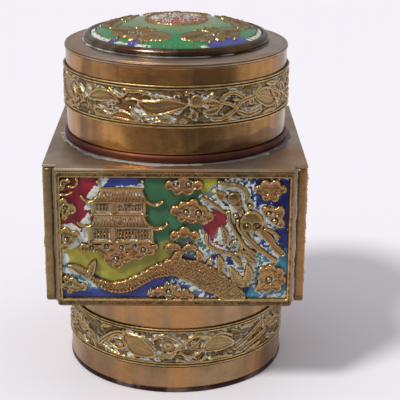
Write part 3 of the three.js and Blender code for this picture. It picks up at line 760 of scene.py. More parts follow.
def panel_map(pitch):
    """The whole panel's relief: the figures on the sunk field, and the frame with its blotchy stains, a darker bottom
    rail and a painted highlight along its inner edge.
    """
    low, high = cad("panel_front")
    half = (high[0] - low[0]) / 2
    map_ = Relief((-half, low[2] - FIELD_MIDDLE), (half, high[2] - FIELD_MIDDLE), pitch)
    shape = map_.height.shape
    draw_pagoda(map_)
    for lobes, beads in CLOUDS:
        map_.cloud(lobes, 2.0, beads)
    draw_dragon(map_)
    u, v = map_.u[:, None], map_.v[None]
    _, bottom, _, top = FIELD
    inside = by_polygon(u, v, rectangle(*FIELD))
    away = np.minimum(half - np.abs(u), np.minimum(v - map_.low[1], map_.high[1] - v))
    frame_height = FRAME_FACE - 0.06 + 0.08 * ridge(inside, -0.3, 0.22)
    hatch = 0.5 + 0.5 * np.cos(2 * math.pi * (u + 0.2 * v) / 0.85)
    wobble = 0.1 * (mottle(shape, 60, 5) - 0.5)
    wobble = wobble - 0.12 * hatch * ease((v - top - 0.6) / 0.2) * ease((mottle(shape, 8, 6) - 0.3) / 0.2)
    share = ease(1 - inside / 0.28)
    map_.height = mixed(map_.height, frame_height + wobble, share) - 0.42 * ease(1 - away / 0.5)
    lie = mottle(shape, 90, 11)
    on_figures = map_.residue * (1 - share)
    on_ground = np.maximum(on_figures, 0.6 * ease((lie - 0.56) / 0.1))
    in_hollow = (map_.height < 1.3) & (inside > 0.3)
    map_.residue = np.where(in_hollow, on_ground, on_figures * ease((lie - 0.3) / 0.2))
    map_.height = np.minimum(map_.height, RELIEF_TOP)
    below = ease((bottom - v) / 0.3)
    blotches = ease((mottle(shape, 70, 7, 4) - 0.42) / 0.22) * ease((away - 0.4) / 0.5)
    # Frame darkening: blotchy stains, and darker along the bottom rail.
    map_.frame_stain = share * (0.16 + 0.3 * below + (0.5 - 0.35 * below) * blotches)
    # Painted highlight along the frame's inner edge, stronger on the bottom rail.
    map_.frame_edge = ridge(inside, -0.2, 0.2) * (0.5 + 0.5 * ease((bottom - v + 0.5) / 0.4))
    return map_


def round_corners(points, low, high, radius):
    """Rounds the four corners of a flat sheet of places."""
    middle, half = (low + high) / 2, (high - low) / 2
    from_middle = points - middle
    out = np.abs(from_middle) - (half - radius)
    in_corner = (out > 0).all(axis=1)
    reach = np.hypot(out[:, 0], out[:, 1])
    scale = np.where(in_corner & (reach > 0), out.max(axis=1) / np.maximum(reach, 1e-9), 1)
    moved = np.sign(from_middle) * (half - radius + out * scale[:, None]) + middle
    return np.where(in_corner[:, None], moved, points)


def standing_grid(map_, level):
    """A grid that stands at this y, facing the front, over a relief map's places."""
    clear()
    bpy.ops.mesh.primitive_grid_add(
        x_subdivisions=map_.columns, y_subdivisions=map_.rows, size=1, rotation=(math.pi / 2, 0, 0)
    )
    piece = bpy.context.object
    edit()
    wide, tall = (b - a for a, b in zip(map_.low, map_.high))
    bpy.ops.transform.resize(value=(wide * MM, 1, tall * MM), center_override=(0, 0, 0))
    middle = [(a + b) / 2 for a, b in zip(map_.low, map_.high)]
    bpy.ops.transform.translate(value=(middle[0] * MM, level * MM, (middle[1] + FIELD_MIDDLE) * MM))
    done()
    bpy.ops.object.transform_apply()
    return piece


def close_back(piece, back):
    """Extrudes a sheet's border to a flat back at this y and closes it with a fan of faces."""
    take(piece)
    edit()
    bpy.ops.mesh.select_mode(type="EDGE")
    bpy.ops.mesh.select_all(action="DESELECT")
    bpy.ops.mesh.select_non_manifold(use_wire=False, use_multi_face=False, use_non_contiguous=False, use_verts=False)
    bpy.ops.mesh.extrude_region_move()
    bpy.ops.transform.resize(value=(1, 0, 1), center_override=(0, back * MM, 0))
    bpy.ops.mesh.edge_face_add()
    bpy.ops.mesh.poke()
    bpy.ops.mesh.select_mode(type="VERT")
    done(outward=True)


def four_sides(piece, name, replaced, material, slot):
    """Copies the front piece to the other three sides, each with its own mesh, and then finishes the front piece."""
    for i, side in reversed(list(enumerate(SIDES))):
        made = own_copy(piece) if i else piece
        made.rotation_euler = (0, 0, i * math.pi / 2)
        finish(made, f"{name}_{side}", material, slot, [f"{replaced}_{side}"], angle=None)


def enamel_colours(map_, colours, relief):
    """The enamel's colour at each place, with painted shade next to the figures, and the residue that lies on it round
    the figures.
    """
    shape = map_.height.shape
    flat_u, flat_v = map_.u[:, None], map_.v[None]
    u, v = (flat + (mottle(shape, 14, seed) - 0.5) * 2.2 for flat, seed in ((flat_u, 21), (flat_v, 22)))
    picture = np.where(((v < -13.6) & (u < 19))[..., None], colours.blue, colours.cobalt)
    for name, outline in PICTURE:
        picture = mixed(picture, getattr(colours, name), ease(by_polygon(u, v, outline) / 0.35 + 0.5)[..., None])
    dull = ease((mottle(shape, 9, 23) - 0.42) / 0.2)[..., None]
    was_yellow = 1 - np.clip(np.abs(picture - np.array(colours.yellow)).sum(-1) / 0.1, 0, 1)[..., None]
    picture = mixed(picture, colours.olive, dull * was_yellow * 0.8)
    figures = (relief.height > ENAMEL_LEVEL + 0.15).astype(float)
    near, tight = (relief.at(blurred(figures, cells), *np.broadcast_arrays(flat_u, flat_v)) for cells in (5, 2))
    grain = mottle(shape, 110, 31)
    dense = np.zeros(shape)
    for outline in CRUSTED:
        dense = np.maximum(dense, ease(by_polygon(flat_u, flat_v, outline) / 1.6 + 0.5 + 1.2 * (grain - 0.5)))
    dense *= 1 - ease(by_polygon(flat_u, flat_v, CLEAR_RED) / 0.8 + 0.6)
    close = ease((near - 0.62) / 0.12) * dense
    web = 0.9 * (mottle(shape, 60, 33) - 0.5) + 0.7 * (grain - 0.5)
    lie = ease((near * 1.5 + 0.68 * dense - 0.78 + web) / 0.14) * (1 - 0.8 * close)
    specks = ease((mottle(shape, 150, 32, 2) - 0.66) / 0.05) * dense * (1 - close)
    patches = np.zeros(shape)
    for outline in PATCHES:
        patches = np.maximum(patches, ease((by_polygon(flat_u, flat_v, outline) + 1.1 * (grain - 0.35)) / 0.4))
    clean = 1 - 0.85 * ease((8 - flat_u) / 3) * (1 - ease((-7 - flat_v + 0.2 * flat_u) / 2))
    amount = np.maximum(np.maximum(lie * clean, specks), patches)
    picture = mixed(picture, colours.murk, (dense * ease((mottle(shape, 34, 35) - 0.35) / 0.25) * 0.75)[..., None])
    # Painted shade: the enamel darkens next to the figures.
    shadow = np.maximum(np.clip(near, 0, 1) * 0.5, ease(tight * 2.2) * 0.9)[..., None]
    picture = mixed(picture, colours.hollow, shadow)
    return picture, np.clip(amount * (1 - 0.85 * ease((tight - 0.2) / 0.3) * (1 - patches)), 0, 1)


class EnamelBoxPanels(bpy.types.Operator):
    """Models the cast relief panel and copies it to the four sides"""

    bl_idname = "enamel_box.panels"
    bl_label = "Relief Panels"

    def execute(self, context):
        sizes = context.scene.enamel_box_sizes
        map_ = panel_map(sizes.panel_pitch / MM)
        low, high = (np.array(corner) for corner in cad("panel_front"))
        field = low[1] + (RELIEF_TOP + CLEARANCE)
        piece = standing_grid(map_, field)
        points = places(piece.data)
        u, v = points[:, 0], points[:, 2] - FIELD_MIDDLE
        wear = map_.wear()
        # The frame's darkening goes to the hollow channel, its painted highlight to the bright-edge channel.
        wear[..., 1] = np.maximum(wear[..., 1], map_.frame_stain * (1 - map_.frame_edge))
        wear[..., 2] = np.maximum(0.7 * wear[..., 2], map_.frame_edge)
        mark(piece.data, "wear", map_.at(wear, u, v))
        points[:, 1] = field - map_.at(map_.height, u, v)
        flat = [0, 2]
        points[:, flat] = round_corners(points[:, flat], low[flat], high[flat], sizes.frame_round / MM)
        put(piece.data, points)
        close_back(piece, high[1])
        four_sides(piece, "relief_panel", "panel", cast_brass(), "cast_brass")
        return {"FINISHED"}


class EnamelBoxPanelEnamel(bpy.types.Operator):
    """Models the enamel that fills the panels round the figures"""

    bl_idname = "enamel_box.panel_enamel"
    bl_label = "Panel Enamel"

    def execute(self, context):
        sizes = context.scene.enamel_box_sizes
        relief = panel_map(sizes.panel_pitch / MM)
        x0, y0, x1, y1 = FIELD
        map_ = Relief((x0 + 0.05, y0 + 0.05), (x1 - 0.05, y1 - 0.05), sizes.enamel_pitch / MM)
        picture, residue = enamel_colours(map_, context.scene.enamel_box_colours, relief)
        figures = blurred((relief.height > ENAMEL_LEVEL + 0.1).astype(float), 3)
        low, high = cad("panel_enamel_front")
        level = low[1]
        piece = standing_grid(map_, level)
        points = places(piece.data)
        u, v = points[:, 0], points[:, 2] - FIELD_MIDDLE
        pale = map_.at(residue, u, v)
        waves = 0.1 * (map_.at(mottle(map_.height.shape, 26, 41), u, v) - 0.5)
        mark(piece.data, "glaze", map_.at(picture, u, v))
        mark(piece.data, "wear", np.repeat(pale[:, None], 3, axis=1))
        points[:, 1] = level - (0.12 * relief.at(figures, u, v) + 0.1 * pale) - waves
        put(piece.data, points)
        close_back(piece, high[1])
        four_sides(piece, "panel_glaze", "panel_enamel", enamel("Panel Enamel"), "panel_enamel")
        return {"FINISHED"}


# Scroll bands: places in degrees from the front and millimetres from the band's middle. Leaves and ribbons have
# half widths, and a ribbon of kind 1 or 2 is dished deeper. Cells, beads and balls have radii.

LID_SCROLL = {
    "dish": 0.26,
    "leaves": [
        ([(-47.5, 0.2), (-40, 1.7), (-33, 1.9), (-27.5, 0.4)], 2.0), ([(-44, -2.9), (-38, -3.4), (-33, -4.3)], 1.3),
        ([(-33, -4.1), (-26, -3.4), (-16.4, -5.0)], 1.5), ([(-18, 1.0), (-10, -0.4), (-3, 0.4), (6.6, 0.7)], 2.5),
        ([(8.4, -4.0), (8.8, -2.4), (8.6, -0.8)], 1.3), ([(12.8, 0.9), (17, 1.1), (23.4, 0.5)], 1.15),
        ([(12.8, -1.6), (17.6, -1.6), (23.6, 0.2)], 1.15), ([(15.6, 1.8), (17.2, 3.2), (18.6, 4.6)], 0.6),
        ([(41.6, 1.2), (48, 0.8), (55, -0.6), (62.8, -0.3)], 3.1), ([(62, 0.8), (66, 1.2), (70, 0.4)], 1.4),
        ([(-66, 2.2), (-61, 0.2), (-57, -2.4)], 1.4), ([(-57, 3.6), (-53.5, 1.0), (-50, -1.8)], 1.3),
        ([(-43, -4.3), (-37, -4.9), (-30, -5.3), (-25, -5.4)], 0.9), ([(-27, 4.6), (-20, 4.4), (-12, 4.9)], 0.7),
        ([(-12, -5.2), (-5, -4.6), (1, -5.2)], 0.7), ([(4.5, 3.2), (6.2, 4.6), (9.5, 5.2)], 0.7),
        ([(22, -5.4), (28, -4.9), (34, -5.4)], 0.6),
        ([(28, 1.6), (31, 1.1), (33.5, 1.4)], 0.6), ([(47, -4.9), (53, -4.6), (60, -4.2)], 0.9),
        ([(49, 4.6), (56, 4.0), (62, 4.2)], 0.8),
    ],
    "ribbons": [
        ([(-33.4, 4.4), (-30, 2.9), (-27.3, 2.0), (-23.0, 4.0)], 0.34, 0),
        ([(-24, 1.6), (-19.9, 1.9), (-16, 1.4), (-9.5, 1.6), (-2.5, 2.6), (2, 2.2)], 0.34, 0),
        ([(-16.8, 3.9), (-9, 3.1), (-2, 2.6)], 0.3, 0), ([(-22, -0.8), (-16.6, -3.6)], 0.34, 0),
        ([(-15.9, -2.6), (-7.2, -2.3), (3.1, -0.95)], 0.34, 0), ([(-14.4, -4.3), (-8, -3.4), (-2.5, -3.4)], 0.34, 0),
        ([(-44, -2.0), (-31.3, -2.1), (-27.8, -1.6)], 0.3, 0),
        ([(-64.5, 1.5), (-60, -2.6), (-57.5, -3.9), (-52, -1.4)], 0.4, 0),
        ([(18.1, -3.9), (23.2, -3.9), (29.6, -1.9), (33.5, 0.6), (40.9, 1.6), (45, 3.6)], 0.75, 1),
        ([(22.4, 1.8), (25.6, 3.1), (29.4, 3.5), (34.8, 1.7)], 0.72, 1),
        ([(23.4, 0.8), (27, 0.1), (30.4, -1.1)], 0.65, 1),
        ([(34.8, -1.7), (40.4, -2.0), (46, -1.4)], 0.3, 0), ([(31.9, -2.6), (37.9, -3.9), (45.6, -3.3)], 0.8, 1),
        ([(-38.4, 0.2), (-34.2, 1.6), (-30.4, -0.4), (-34.4, -0.6), (-38.4, 0.2)], 0.2, 0),
    ],
    "cells": [(-46.2, 3.1, 1.15), (3.6, -4.2, 0.8), (39.5, 0.0, 0.9)],
    "beads": [(-40.7, 3.9, 0.55), (-47, -2.2, 0.5), (51, 2.7, 0.5)],
    "balls": [(10.1, 1.7, 2.2)],
}
FOOT_SCROLL = {
    "dish": 0.12,
    "leaves": [
        ([(-27, 3.4), (-23, 1.2), (-18, -0.6), (-9.6, -2.6)], 3.5),
        ([(14.4, -1.2), (20, 0.6), (26, 0.4), (32, -0.4)], 2.9),
        ([(-52, 0.6), (-48, -1.2), (-44, -3.0)], 1.3), ([(54, 3.6), (53.8, 1.8), (54.4, 0)], 1.3),
        ([(60, 0.8), (64, 0.4), (69, 1.2)], 1.6), ([(-67, 1.2), (-62, 2.4), (-57, 1.0)], 1.5),
        ([(-22, -5.0), (-15, -5.2), (-8, -5.0)], 0.7), ([(17, -4.4), (25, -4.8), (32, -4.6)], 1.0),
        ([(36, 4.4), (43, 4.6), (49, 5.0)], 0.8),
        ([(-42, 3.6), (-38, 4.4), (-34, 4.8)], 0.8), ([(38, -5.2), (45, -4.4), (52, -3.4)], 0.7),
        ([(-64, -3.6), (-58, -4.2), (-52, -5.0)], 0.9),
    ],
    "ribbons": [
        ([(-43.4, -2.6), (-38, 0.4), (-32.2, 2.8), (-26.6, 3.6)], 0.85, 1),
        ([(-43.4, -2.4), (-36, -3.8), (-26.4, -5.0), (-21, -4.4)], 0.6, 1),
        ([(-36.9, -0.6), (-33, 1.2), (-27, 1.0), (-25.4, -1.0), (-31, -2.4), (-36.6, -0.9)], 0.42, 0),
        ([(-24.5, 3.4), (-19.5, 3.3), (-14.2, 2.4), (-10.1, -0.4)], 0.42, 0),
        ([(-11.6, 2.4), (-8, 4.0), (-5, 4.4), (-0.6, 3.4), (3.2, 1.6)], 0.5, 0),
        ([(-7.3, -2.2), (-2.5, -2.2), (3, 0.6), (9.1, 3.7), (13, 4.0), (17.5, 3.6)], 0.6, 1),
        ([(-9.5, -3.4), (-3.6, -3.2), (0.6, -1.8)], 0.4, 0), ([(4, -0.2), (9, 0.8), (13.6, 3.2)], 0.36, 0),
        ([(3, -1.7), (6.8, -3.0), (11.7, -2.2), (14, -0.6)], 0.55, 0),
        ([(1, -3.9), (7, -4.9), (13.8, -4.6), (15.4, -3.4)], 0.4, 0),
        ([(32.2, -2.4), (41, 0.2), (51.4, 3.4)], 0.8, 2), ([(35.2, -3.9), (44, -2.2), (54, -0.6)], 0.8, 2),
        ([(18, 3.2), (24, 4.2), (30, 2.6)], 0.5, 0), ([(-56, 3.4), (-50, -0.6), (-46, -3.9)], 0.36, 0),
    ],
    "cells": [(-29.5, -0.6, 0.9), (-50.7, -1.2, 0.9), (-3.6, 1.0, 1.0), (9.6, 1.7, 0.7)],
    "beads": [(-24.2, 0.4, 0.35), (29.6, -3.4, 0.4)],
    "balls": [(53.7, 1.75, 1.2)],
}
BAND_REPEATS = 3
BAND_TOP = 1.1
GROUND_FOLDS = 36


def band_map(scroll, radius, wide, pitch, seed):
    """A scroll band's relief round a drum: a stippled ground, double rims and the figures three times round."""
    half_round = math.pi * radius
    map_ = Relief((-half_round, -wide / 2), (half_round, wide / 2), pitch, closed=True)
    shape = map_.height.shape
    degree = half_round / 180
    u, v = map_.u[:, None], map_.v[None]
    warp = mottle(shape, 90, seed + 5) - 0.5
    folds = np.cos(u * GROUND_FOLDS * math.pi / half_round + v * 2.3 + 9 * warp) * ease((warp + 0.22) / 0.2)
    map_.height += 0.3 + 0.16 * (mottle(shape, 420, seed, 2) - 0.5) + 0.14 * folds
    for repeat in range(BAND_REPEATS):
        turn = (repeat - 1) * 360 / BAND_REPEATS

        def on_drum(points):
            return [((x + turn) * degree, *rest) for x, *rest in points]

        for points, half in scroll["leaves"]:
            map_.leaf(on_drum(points), half + 0.25, 0.8, 0.05, 0.22, scroll["dish"], 0.46)
        for points, half, grooves in scroll["ribbons"]:
            map_.ribbon(on_drum(points), half + 0.16, 0.84, 0, 0.18, 0.14 + 0.14 * grooves, 0.4)
        for x, y, r in on_drum(scroll["cells"]):
            for where, away in map_.around(x, y, r + 1):
                map_.press(where, 0.5 + 0.4 * ridge(away, r, 0.25))
                map_.stain(where, ease((r - away) / 0.4) * 0.8)
        for x, y, r in on_drum(scroll["balls"]):
            map_.boss(x, y, r, 0.72, 0.36)
        for x, y, r in on_drum(scroll["beads"]):
            for where, away in map_.around(x, y, r + 0.5):
                map_.press(where, 0.45 + np.sqrt(np.clip(r * r - away * away, 0, None)))
                map_.stain(where, 0.8 * ridge(away, r + 0.15, 0.2))
    rim = wide / 2 - np.abs(v)
    lips = np.maximum(0.98 * ridge(rim, 0.32, 0.3, 4), 0.82 * ridge(rim, 1.12, 0.26, 4))
    share = ease((1.75 - rim) / 0.4)
    map_.height = mixed(map_.height, np.maximum(0.3, lips), share)
    hollow = np.clip((blurred(map_.height, 4) - map_.height) / 0.2, 0, 1)
    lie = mottle(shape, 34, seed + 1) * 0.6 + mottle(shape, 260, seed + 2, 2) * 0.4
    low_ground = ease((0.5 - map_.height) / 0.12) * ease((lie + 0.42 * hollow - 0.78) / 0.1) * 0.8
    map_.residue = np.maximum(map_.residue * 0.7, low_ground) * (1 - share)
    map_.height = np.clip(map_.height, 0.05, BAND_TOP - 0.03)
    return map_


class EnamelBoxBands(bpy.types.Operator):
    """Models the cast scroll bands round the foot and the lid"""

    bl_idname = "enamel_box.bands"
    bl_label = "Scroll Bands"

    def execute(self, context):
        pitch = context.scene.enamel_box_sizes.band_pitch / MM
        for node, scroll, seed in (("foot_scroll_band", FOOT_SCROLL, 61), ("lid_scroll_band", LID_SCROLL, 71)):
            low, high = cad(node)
            drum, bottom, top = high[0] - BAND_TOP, low[2], high[2]
            map_ = band_map(scroll, drum, top - bottom, pitch, seed)
            section = [(drum + 0.4, z) for z in np.linspace(bottom, top, map_.rows + 1)]
            piece = turned(section + [(drum + 0.05, top), (drum + 0.05, bottom)], map_.columns)
            points = places(piece.data)
            radius = np.hypot(points[:, 0], points[:, 1])
            u, v = np.arctan2(points[:, 0], -points[:, 1]) * drum, points[:, 2] - (bottom + top) / 2
            wanted = drum + map_.at(map_.height, u, v)
            points[:, :2] *= np.where(radius > drum + 0.2, wanted / radius, 1)[:, None]
            put(piece.data, points)
            wear = map_.wear(0.34)
            # The low ground is darkened with the hollow colour, and the flat tops get a little of the bright-edge
            # colour, rubbed wear and painted highlight.
            wear[..., 1] = np.maximum(wear[..., 1], 0.45 * ease((0.52 - map_.height) / 0.12))
            wear[..., 2] = np.maximum(wear[..., 2], 0.1 * ease((map_.height - 0.6) / 0.08))
            mark(piece.data, "wear", map_.at(wear, u, v))
            finish(piece, node.replace("_scroll", "") + "_relief", cast_brass(), "cast_brass", [node], angle=None)
        return {"FINISHED"}


# Medallion: BAT_PLACE, DISC and BEAD_PLACE are shares of the dome's radius, and the rest is in millimetres. The blue
# arcs are a middle and a half width in degrees from the front. The rings of the turned pieces begin at HUB.

BAT_COUNT = 5
BAT_PLACE = 0.71
DOME_RISE = 4.6
DOME_ENAMEL = 0.7
DISC = 0.37
DISC_ROW = 2.25
MAP_PITCH = 0.22
RELIEF_LIMIT = 1.56
RELIEF_SIDES, ENAMEL_SIDES = 420, 360
HUB = 0.35
BEAD_COUNT, BEAD_PLACE = 92, 0.937
BLUE_ARCS = ((39, 18), (-31, 5), (-48, 4), (110, 12), (-106, 12), (178, 10))


def dome_height(radius, edge, dome):
    return edge + DOME_RISE * (1 - (radius / dome) ** 2)


def turn_between(first, second):
    """The angle between two directions, from 0 to 180 degrees."""
    return abs((first - second + 180) % 360 - 180)


def medallion_map(dome, pitch):
    """The medallion's relief over its sunk plate, as a square map seen from above."""
    map_ = Relief((-dome, -dome), (dome, dome), pitch)
    away = np.hypot(map_.u[:, None], map_.v[None])
    disc = DISC * dome
    map_.residue = ridge(away, disc - 1.35, 0.22) * 0.9
    map_.height = np.maximum(ridge(away, disc - 0.35, 0.42, 4) * 1.35, map_.residue)
    for k in range(-3, 4):
        y = k * DISC_ROW
        reach = math.sqrt(max(0.1, (disc - 2.1) ** 2 - y * y))
        start, step = -reach, 0
        while start < reach - 0.6:
            end = min(start + (2.6, 1.5, 3.4)[(k + step) % 3], reach)
            if end - start > 0.8:
                map_.stem([(start, y), ((start + end) / 2, y + 0.2 * (-1) ** step), (end, y)], 0.24, 1.1, 0.62)
            start = end + 0.85
            step += 1
    for i in range(BAT_COUNT):
        turn = 2 * math.pi * (i + 0.5) / BAT_COUNT - math.pi / 2

        def at(across, along):
            """A place by its distances across and out from the bat's middle."""
            out = BAT_PLACE * dome + along
            return math.cos(turn) * out - math.sin(turn) * across, math.sin(turn) * out + math.cos(turn) * across

        for hand in (-1, 1):
            angles = np.linspace(0, 2 * math.pi, 25)[:-1]
            wing = [(6.3 + 5.2 * math.cos(a), -0.5 + 3.3 * math.sin(a) - 0.9 * math.cos(a)) for a in angles]
            map_.block([at(hand * x, y) for x, y in wing], 1.1, 0.14, 0.02)
            for k in range(7):
                foot, tip = at(hand * (2.2 + 0.9 * k), -0.6), at(hand * (3.0 + 1.3 * k), 1.7 - 0.35 * k)
                map_.stem([foot, ((foot[0] + tip[0]) / 2, (foot[1] + tip[1]) / 2), tip], 0.24, 1.5)
            map_.leaf([at(hand * 2.0, 3.0), at(hand * 4.6, 2.6), at(hand * 6.6, 3.4)], 1.2, 1.2, 0.05)
            map_.stem([at(hand * 1.2, -2.4), at(hand * 2.8, -4.0), at(hand * 4.2, -3.6)], 0.4, 1.3)
        map_.leaf([at(0, -4.6), at(0, -2.0), at(0, 1.4)], 1.5, 1.35, 0.05)
        map_.boss(*at(0, 3.2), 2.1, 0.95, 0.6)
        for across, along, r in ((-2.6, 0.6, 0.6), (2.6, 0.6, 0.6), (-4.9, 4.6, 0.7), (4.9, 4.6, 0.7), (0, 0.3, 0.55)):
            map_.bead(*at(across, along), r, 1.45, 0.8)
    for i in range(BEAD_COUNT):
        turn = 2 * math.pi * i / BEAD_COUNT
        bearing = math.degrees(turn) + 90
        if not any(half > 8 and turn_between(bearing, middle) < half - 2 for middle, half in BLUE_ARCS):
            map_.boss(BEAD_PLACE * dome * math.cos(turn), BEAD_PLACE * dome * math.sin(turn), 0.56, 0.85, 0.45)
    map_.height = np.minimum(map_.height, RELIEF_LIMIT)
    return map_


class EnamelBoxMedallion(bpy.types.Operator):
    """Models the domed medallion and its enamel"""

    bl_idname = "enamel_box.medallion"
    bl_label = "Medallion"

    def execute(self, context):
        sizes, colours = context.scene.enamel_box_sizes, context.scene.enamel_box_colours
        low, high = cad("medallion")
        dome = high[0]
        edge = cad("bezel")[1][2] - 0.4
        map_ = medallion_map(dome, MAP_PITCH)

        def plate(radius):
            """Height of the sunk plate under the enamel."""
            return dome_height(radius, edge, dome) - DOME_ENAMEL

        radii = np.linspace(HUB, dome, round(dome / (sizes.dome_pitch / MM)))
        section = [(HUB, plate(0) - 1.5), (dome * 0.94, low[2] + 0.8), (dome * 0.94, low[2]), (dome, low[2])]
        section += [(r, plate(r)) for r in radii[::-1]]
        piece = turned(section, RELIEF_SIDES, open_ends=True)
        points = places(piece.data)
        x, y = points[:, 0], points[:, 1]
        away = np.hypot(x, y)
        ground = plate(away)
        points[:, 2] = np.where(points[:, 2] > ground - 0.1, ground + map_.at(map_.height, x, y), points[:, 2])
        put(piece.data, points)
        wear = map_.at(map_.wear(), x, y) * (1, 1, 0.4)
        # Darker towards the outer edge, next to the bezel.
        wear[:, 1] = np.maximum(wear[:, 1], 0.5 * ease((away - 0.9 * dome) / 0.3))
        mark(piece.data, "wear", wear)
        finish(piece, "medallion_relief", cast_brass(), "cast_brass", ["medallion"], angle=None)

        reach = dome - 0.25
        radii = np.linspace(HUB, reach, round(reach / 0.42))
        section = [(r, plate(lift) + 0.05) for r, lift in ((HUB, 0), *((r, r) for r in radii[3::6]), (reach, reach))]
        section += [(r, dome_height(r, edge, dome)) for r in radii[::-1]]
        glaze = turned(section, ENAMEL_SIDES, open_ends=True)
        points = places(glaze.data)
        x, y = points[:, 0], points[:, 1]
        away, bearing = np.hypot(x, y), np.degrees(np.arctan2(x, -y))
        near = map_.at(blurred((map_.height > 0.8).astype(float), 4), x, y)
        grain, fine = (map_.at(mottle(map_.height.shape, cells, seed), x, y) for cells, seed in ((60, 81), (130, 82)))
        drift = away + (grain - 0.5) * 5
        glass = mixed(
            np.array(colours.dome_grey), colours.dome_green, ease((drift - 0.4 * dome) / (0.3 * dome))[:, None]
        )
        blue = np.zeros(len(points))
        for middle, half in BLUE_ARCS:
            blue = np.maximum(blue, ease((half - turn_between(bearing, middle) + (grain - 0.5) * 6) / 2))
        blue = blue * ease((away + (grain - 0.5) - 0.75 * dome) / 0.6)
        glass = mixed(glass, colours.blue, blue[:, None])
        inner = ease((DISC * dome - away) / 0.3)
        glass = mixed(glass, colours.dome_red, inner[:, None])
        rim = ease((away - 0.93 * dome) / 0.4) * (1 - blue) * ease((np.sin(np.radians(bearing)) ** 2 - 0.02) / 0.12)
        lie = ease((near * 1.05 + 0.6 * (fine - 0.5) - 0.54) / 0.16) * (1 - 0.5 * blue)
        amount = np.maximum(lie, rim * ease((fine - 0.3) / 0.15)) * (1 - 0.3 * inner)
        above = points[:, 2] > dome_height(away, edge, dome) - 0.2
        points[:, 2] += np.where(above, 0.1 * near + 0.08 * (grain - 0.5), 0)
        put(glaze.data, points)
        mark(glaze.data, "glaze", glass)
        mark(glaze.data, "wear", np.repeat(amount[:, None], 3, axis=1))
        look = enamel("Medallion Enamel")
        finish(glaze, "medallion_glaze", look, "medallion_enamel", ["medallion_enamel"], angle=None)
        return {"FINISHED"}


# Turned sheet and plate work

SHEET = 1.2


class EnamelBoxDrums(bpy.types.Operator):
    """Models the plain drums of the foot and the lid, and the base plate"""

    bl_idname = "enamel_box.drums"
    bl_label = "Drums and Base"

    def execute(self, context):
        sides = context.scene.enamel_box_sizes.round_sides
        edge, _, top = cad("base_plate")[1]
        section = rounded([(0.4, top), (edge, top), (edge, 0), (0.4, 0)], 0.55, 3, closed=False)
        finish(turned(section, sides, open_ends=True), "base_disc", metal("Base Brass"), "dull_brass", ["base_plate"])

        (_, _, foot), (skirt, _, top) = cad("foot_drum")
        (_, _, lid_foot), (drum, _, lid_top) = cad("lid_drum")
        skirt_top = cad("foot_scroll_band")[0][2]
        inner = drum - SHEET
        section = rounded(
            [(inner, foot), (skirt, foot), (skirt - 0.1, foot + 1.6), (drum + 0.32, skirt_top - 0.3),
             (drum, skirt_top - 0.05), (drum, top), (inner, top)], 0.16, 2,
        )
        finish(turned(section, sides), "foot_wall", metal("Foot Brass"), "sheet_brass", ["foot_drum"])
        section = rounded(
            [(inner, lid_foot), (drum, lid_foot), (drum, lid_foot + 4), (drum, lid_top), (inner, lid_top)], 0.3, 3
        )
        finish(turned(section, sides), "lid_wall", metal("Lid Brass"), "sheet_brass", ["lid_drum"])
        return {"FINISHED"}


class EnamelBoxPlates(bpy.types.Operator):
    """Models the lid's rimmed top plate, the bezel round the medallion and the copper collar"""

    bl_idname = "enamel_box.plates"
    bl_label = "Lid Plate, Bezel and Collar"

    def execute(self, context):
        sides = context.scene.enamel_box_sizes.round_sides
        (_, _, bottom), (rim, _, top) = cad("lid_top_plate")
        (_, _, lid_foot), (drum, _, _) = cad("lid_drum")
        (_, _, foot), (bezel, _, crown) = cad("bezel")
        hole = bezel - 4.7
        step = top - 0.8
        section = rounded(
            [(hole, top - 0.85), (drum - 2.4, bottom), (rim, bottom), (rim, bottom + 0.42), (rim - 0.4, bottom + 0.5),
             (rim - 0.1, step), (rim - 0.4, step + 0.2), (rim - 0.75, step + 0.2), (rim - 1.0, step - 0.12),
             (rim - 1.35, step - 0.12), (rim - 1.6, step + 0.24), (rim - 2.2, step + 0.16),
             (bezel + 0.9, top - 0.06), (bezel, top), (hole, top)], 0.09, 2,
        )
        finish(turned(section, sides), "lid_plate", metal("Lid Plate Brass"), "dull_brass", ["lid_top_plate"])

        inner = bezel - 2.2
        section = rounded(
            [(inner, foot), (bezel - 0.5, foot), (bezel, foot + 0.55), (bezel - 0.12, foot + 1.5),
             (bezel - 0.8, crown - 0.3), (bezel - 1.6, crown), (inner, crown - 0.25)], 0.45, 4,
        )
        finish(turned(section, sides), "bezel_ring", metal("Bezel Brass"), "sheet_brass", ["bezel"])

        (_, _, low), (rib, _, high) = cad("copper_collar")
        rib_foot = cad("top_plate")[1][2] + 0.05
        rib_top = lid_foot - 0.05
        tube = drum - 1.6
        middle, half = (rib_foot + rib_top) / 2, (rib_top - rib_foot) / 2
        section = [(tube - 1, low), (tube, low), (tube, rib_foot)]
        section += [(rib - 1.15 + 0.75 * math.cos(a), middle + half * math.sin(a)) for a in np.linspace(-1.35, 1.35, 9)]
        section += [(tube, rib_top), (tube, high - 0.4), (tube - 0.3, high), (tube - 1, high)]
        finish(turned(section, sides), "collar_rib", metal("Copper"), "copper", ["copper_collar"])
        return {"FINISHED"}


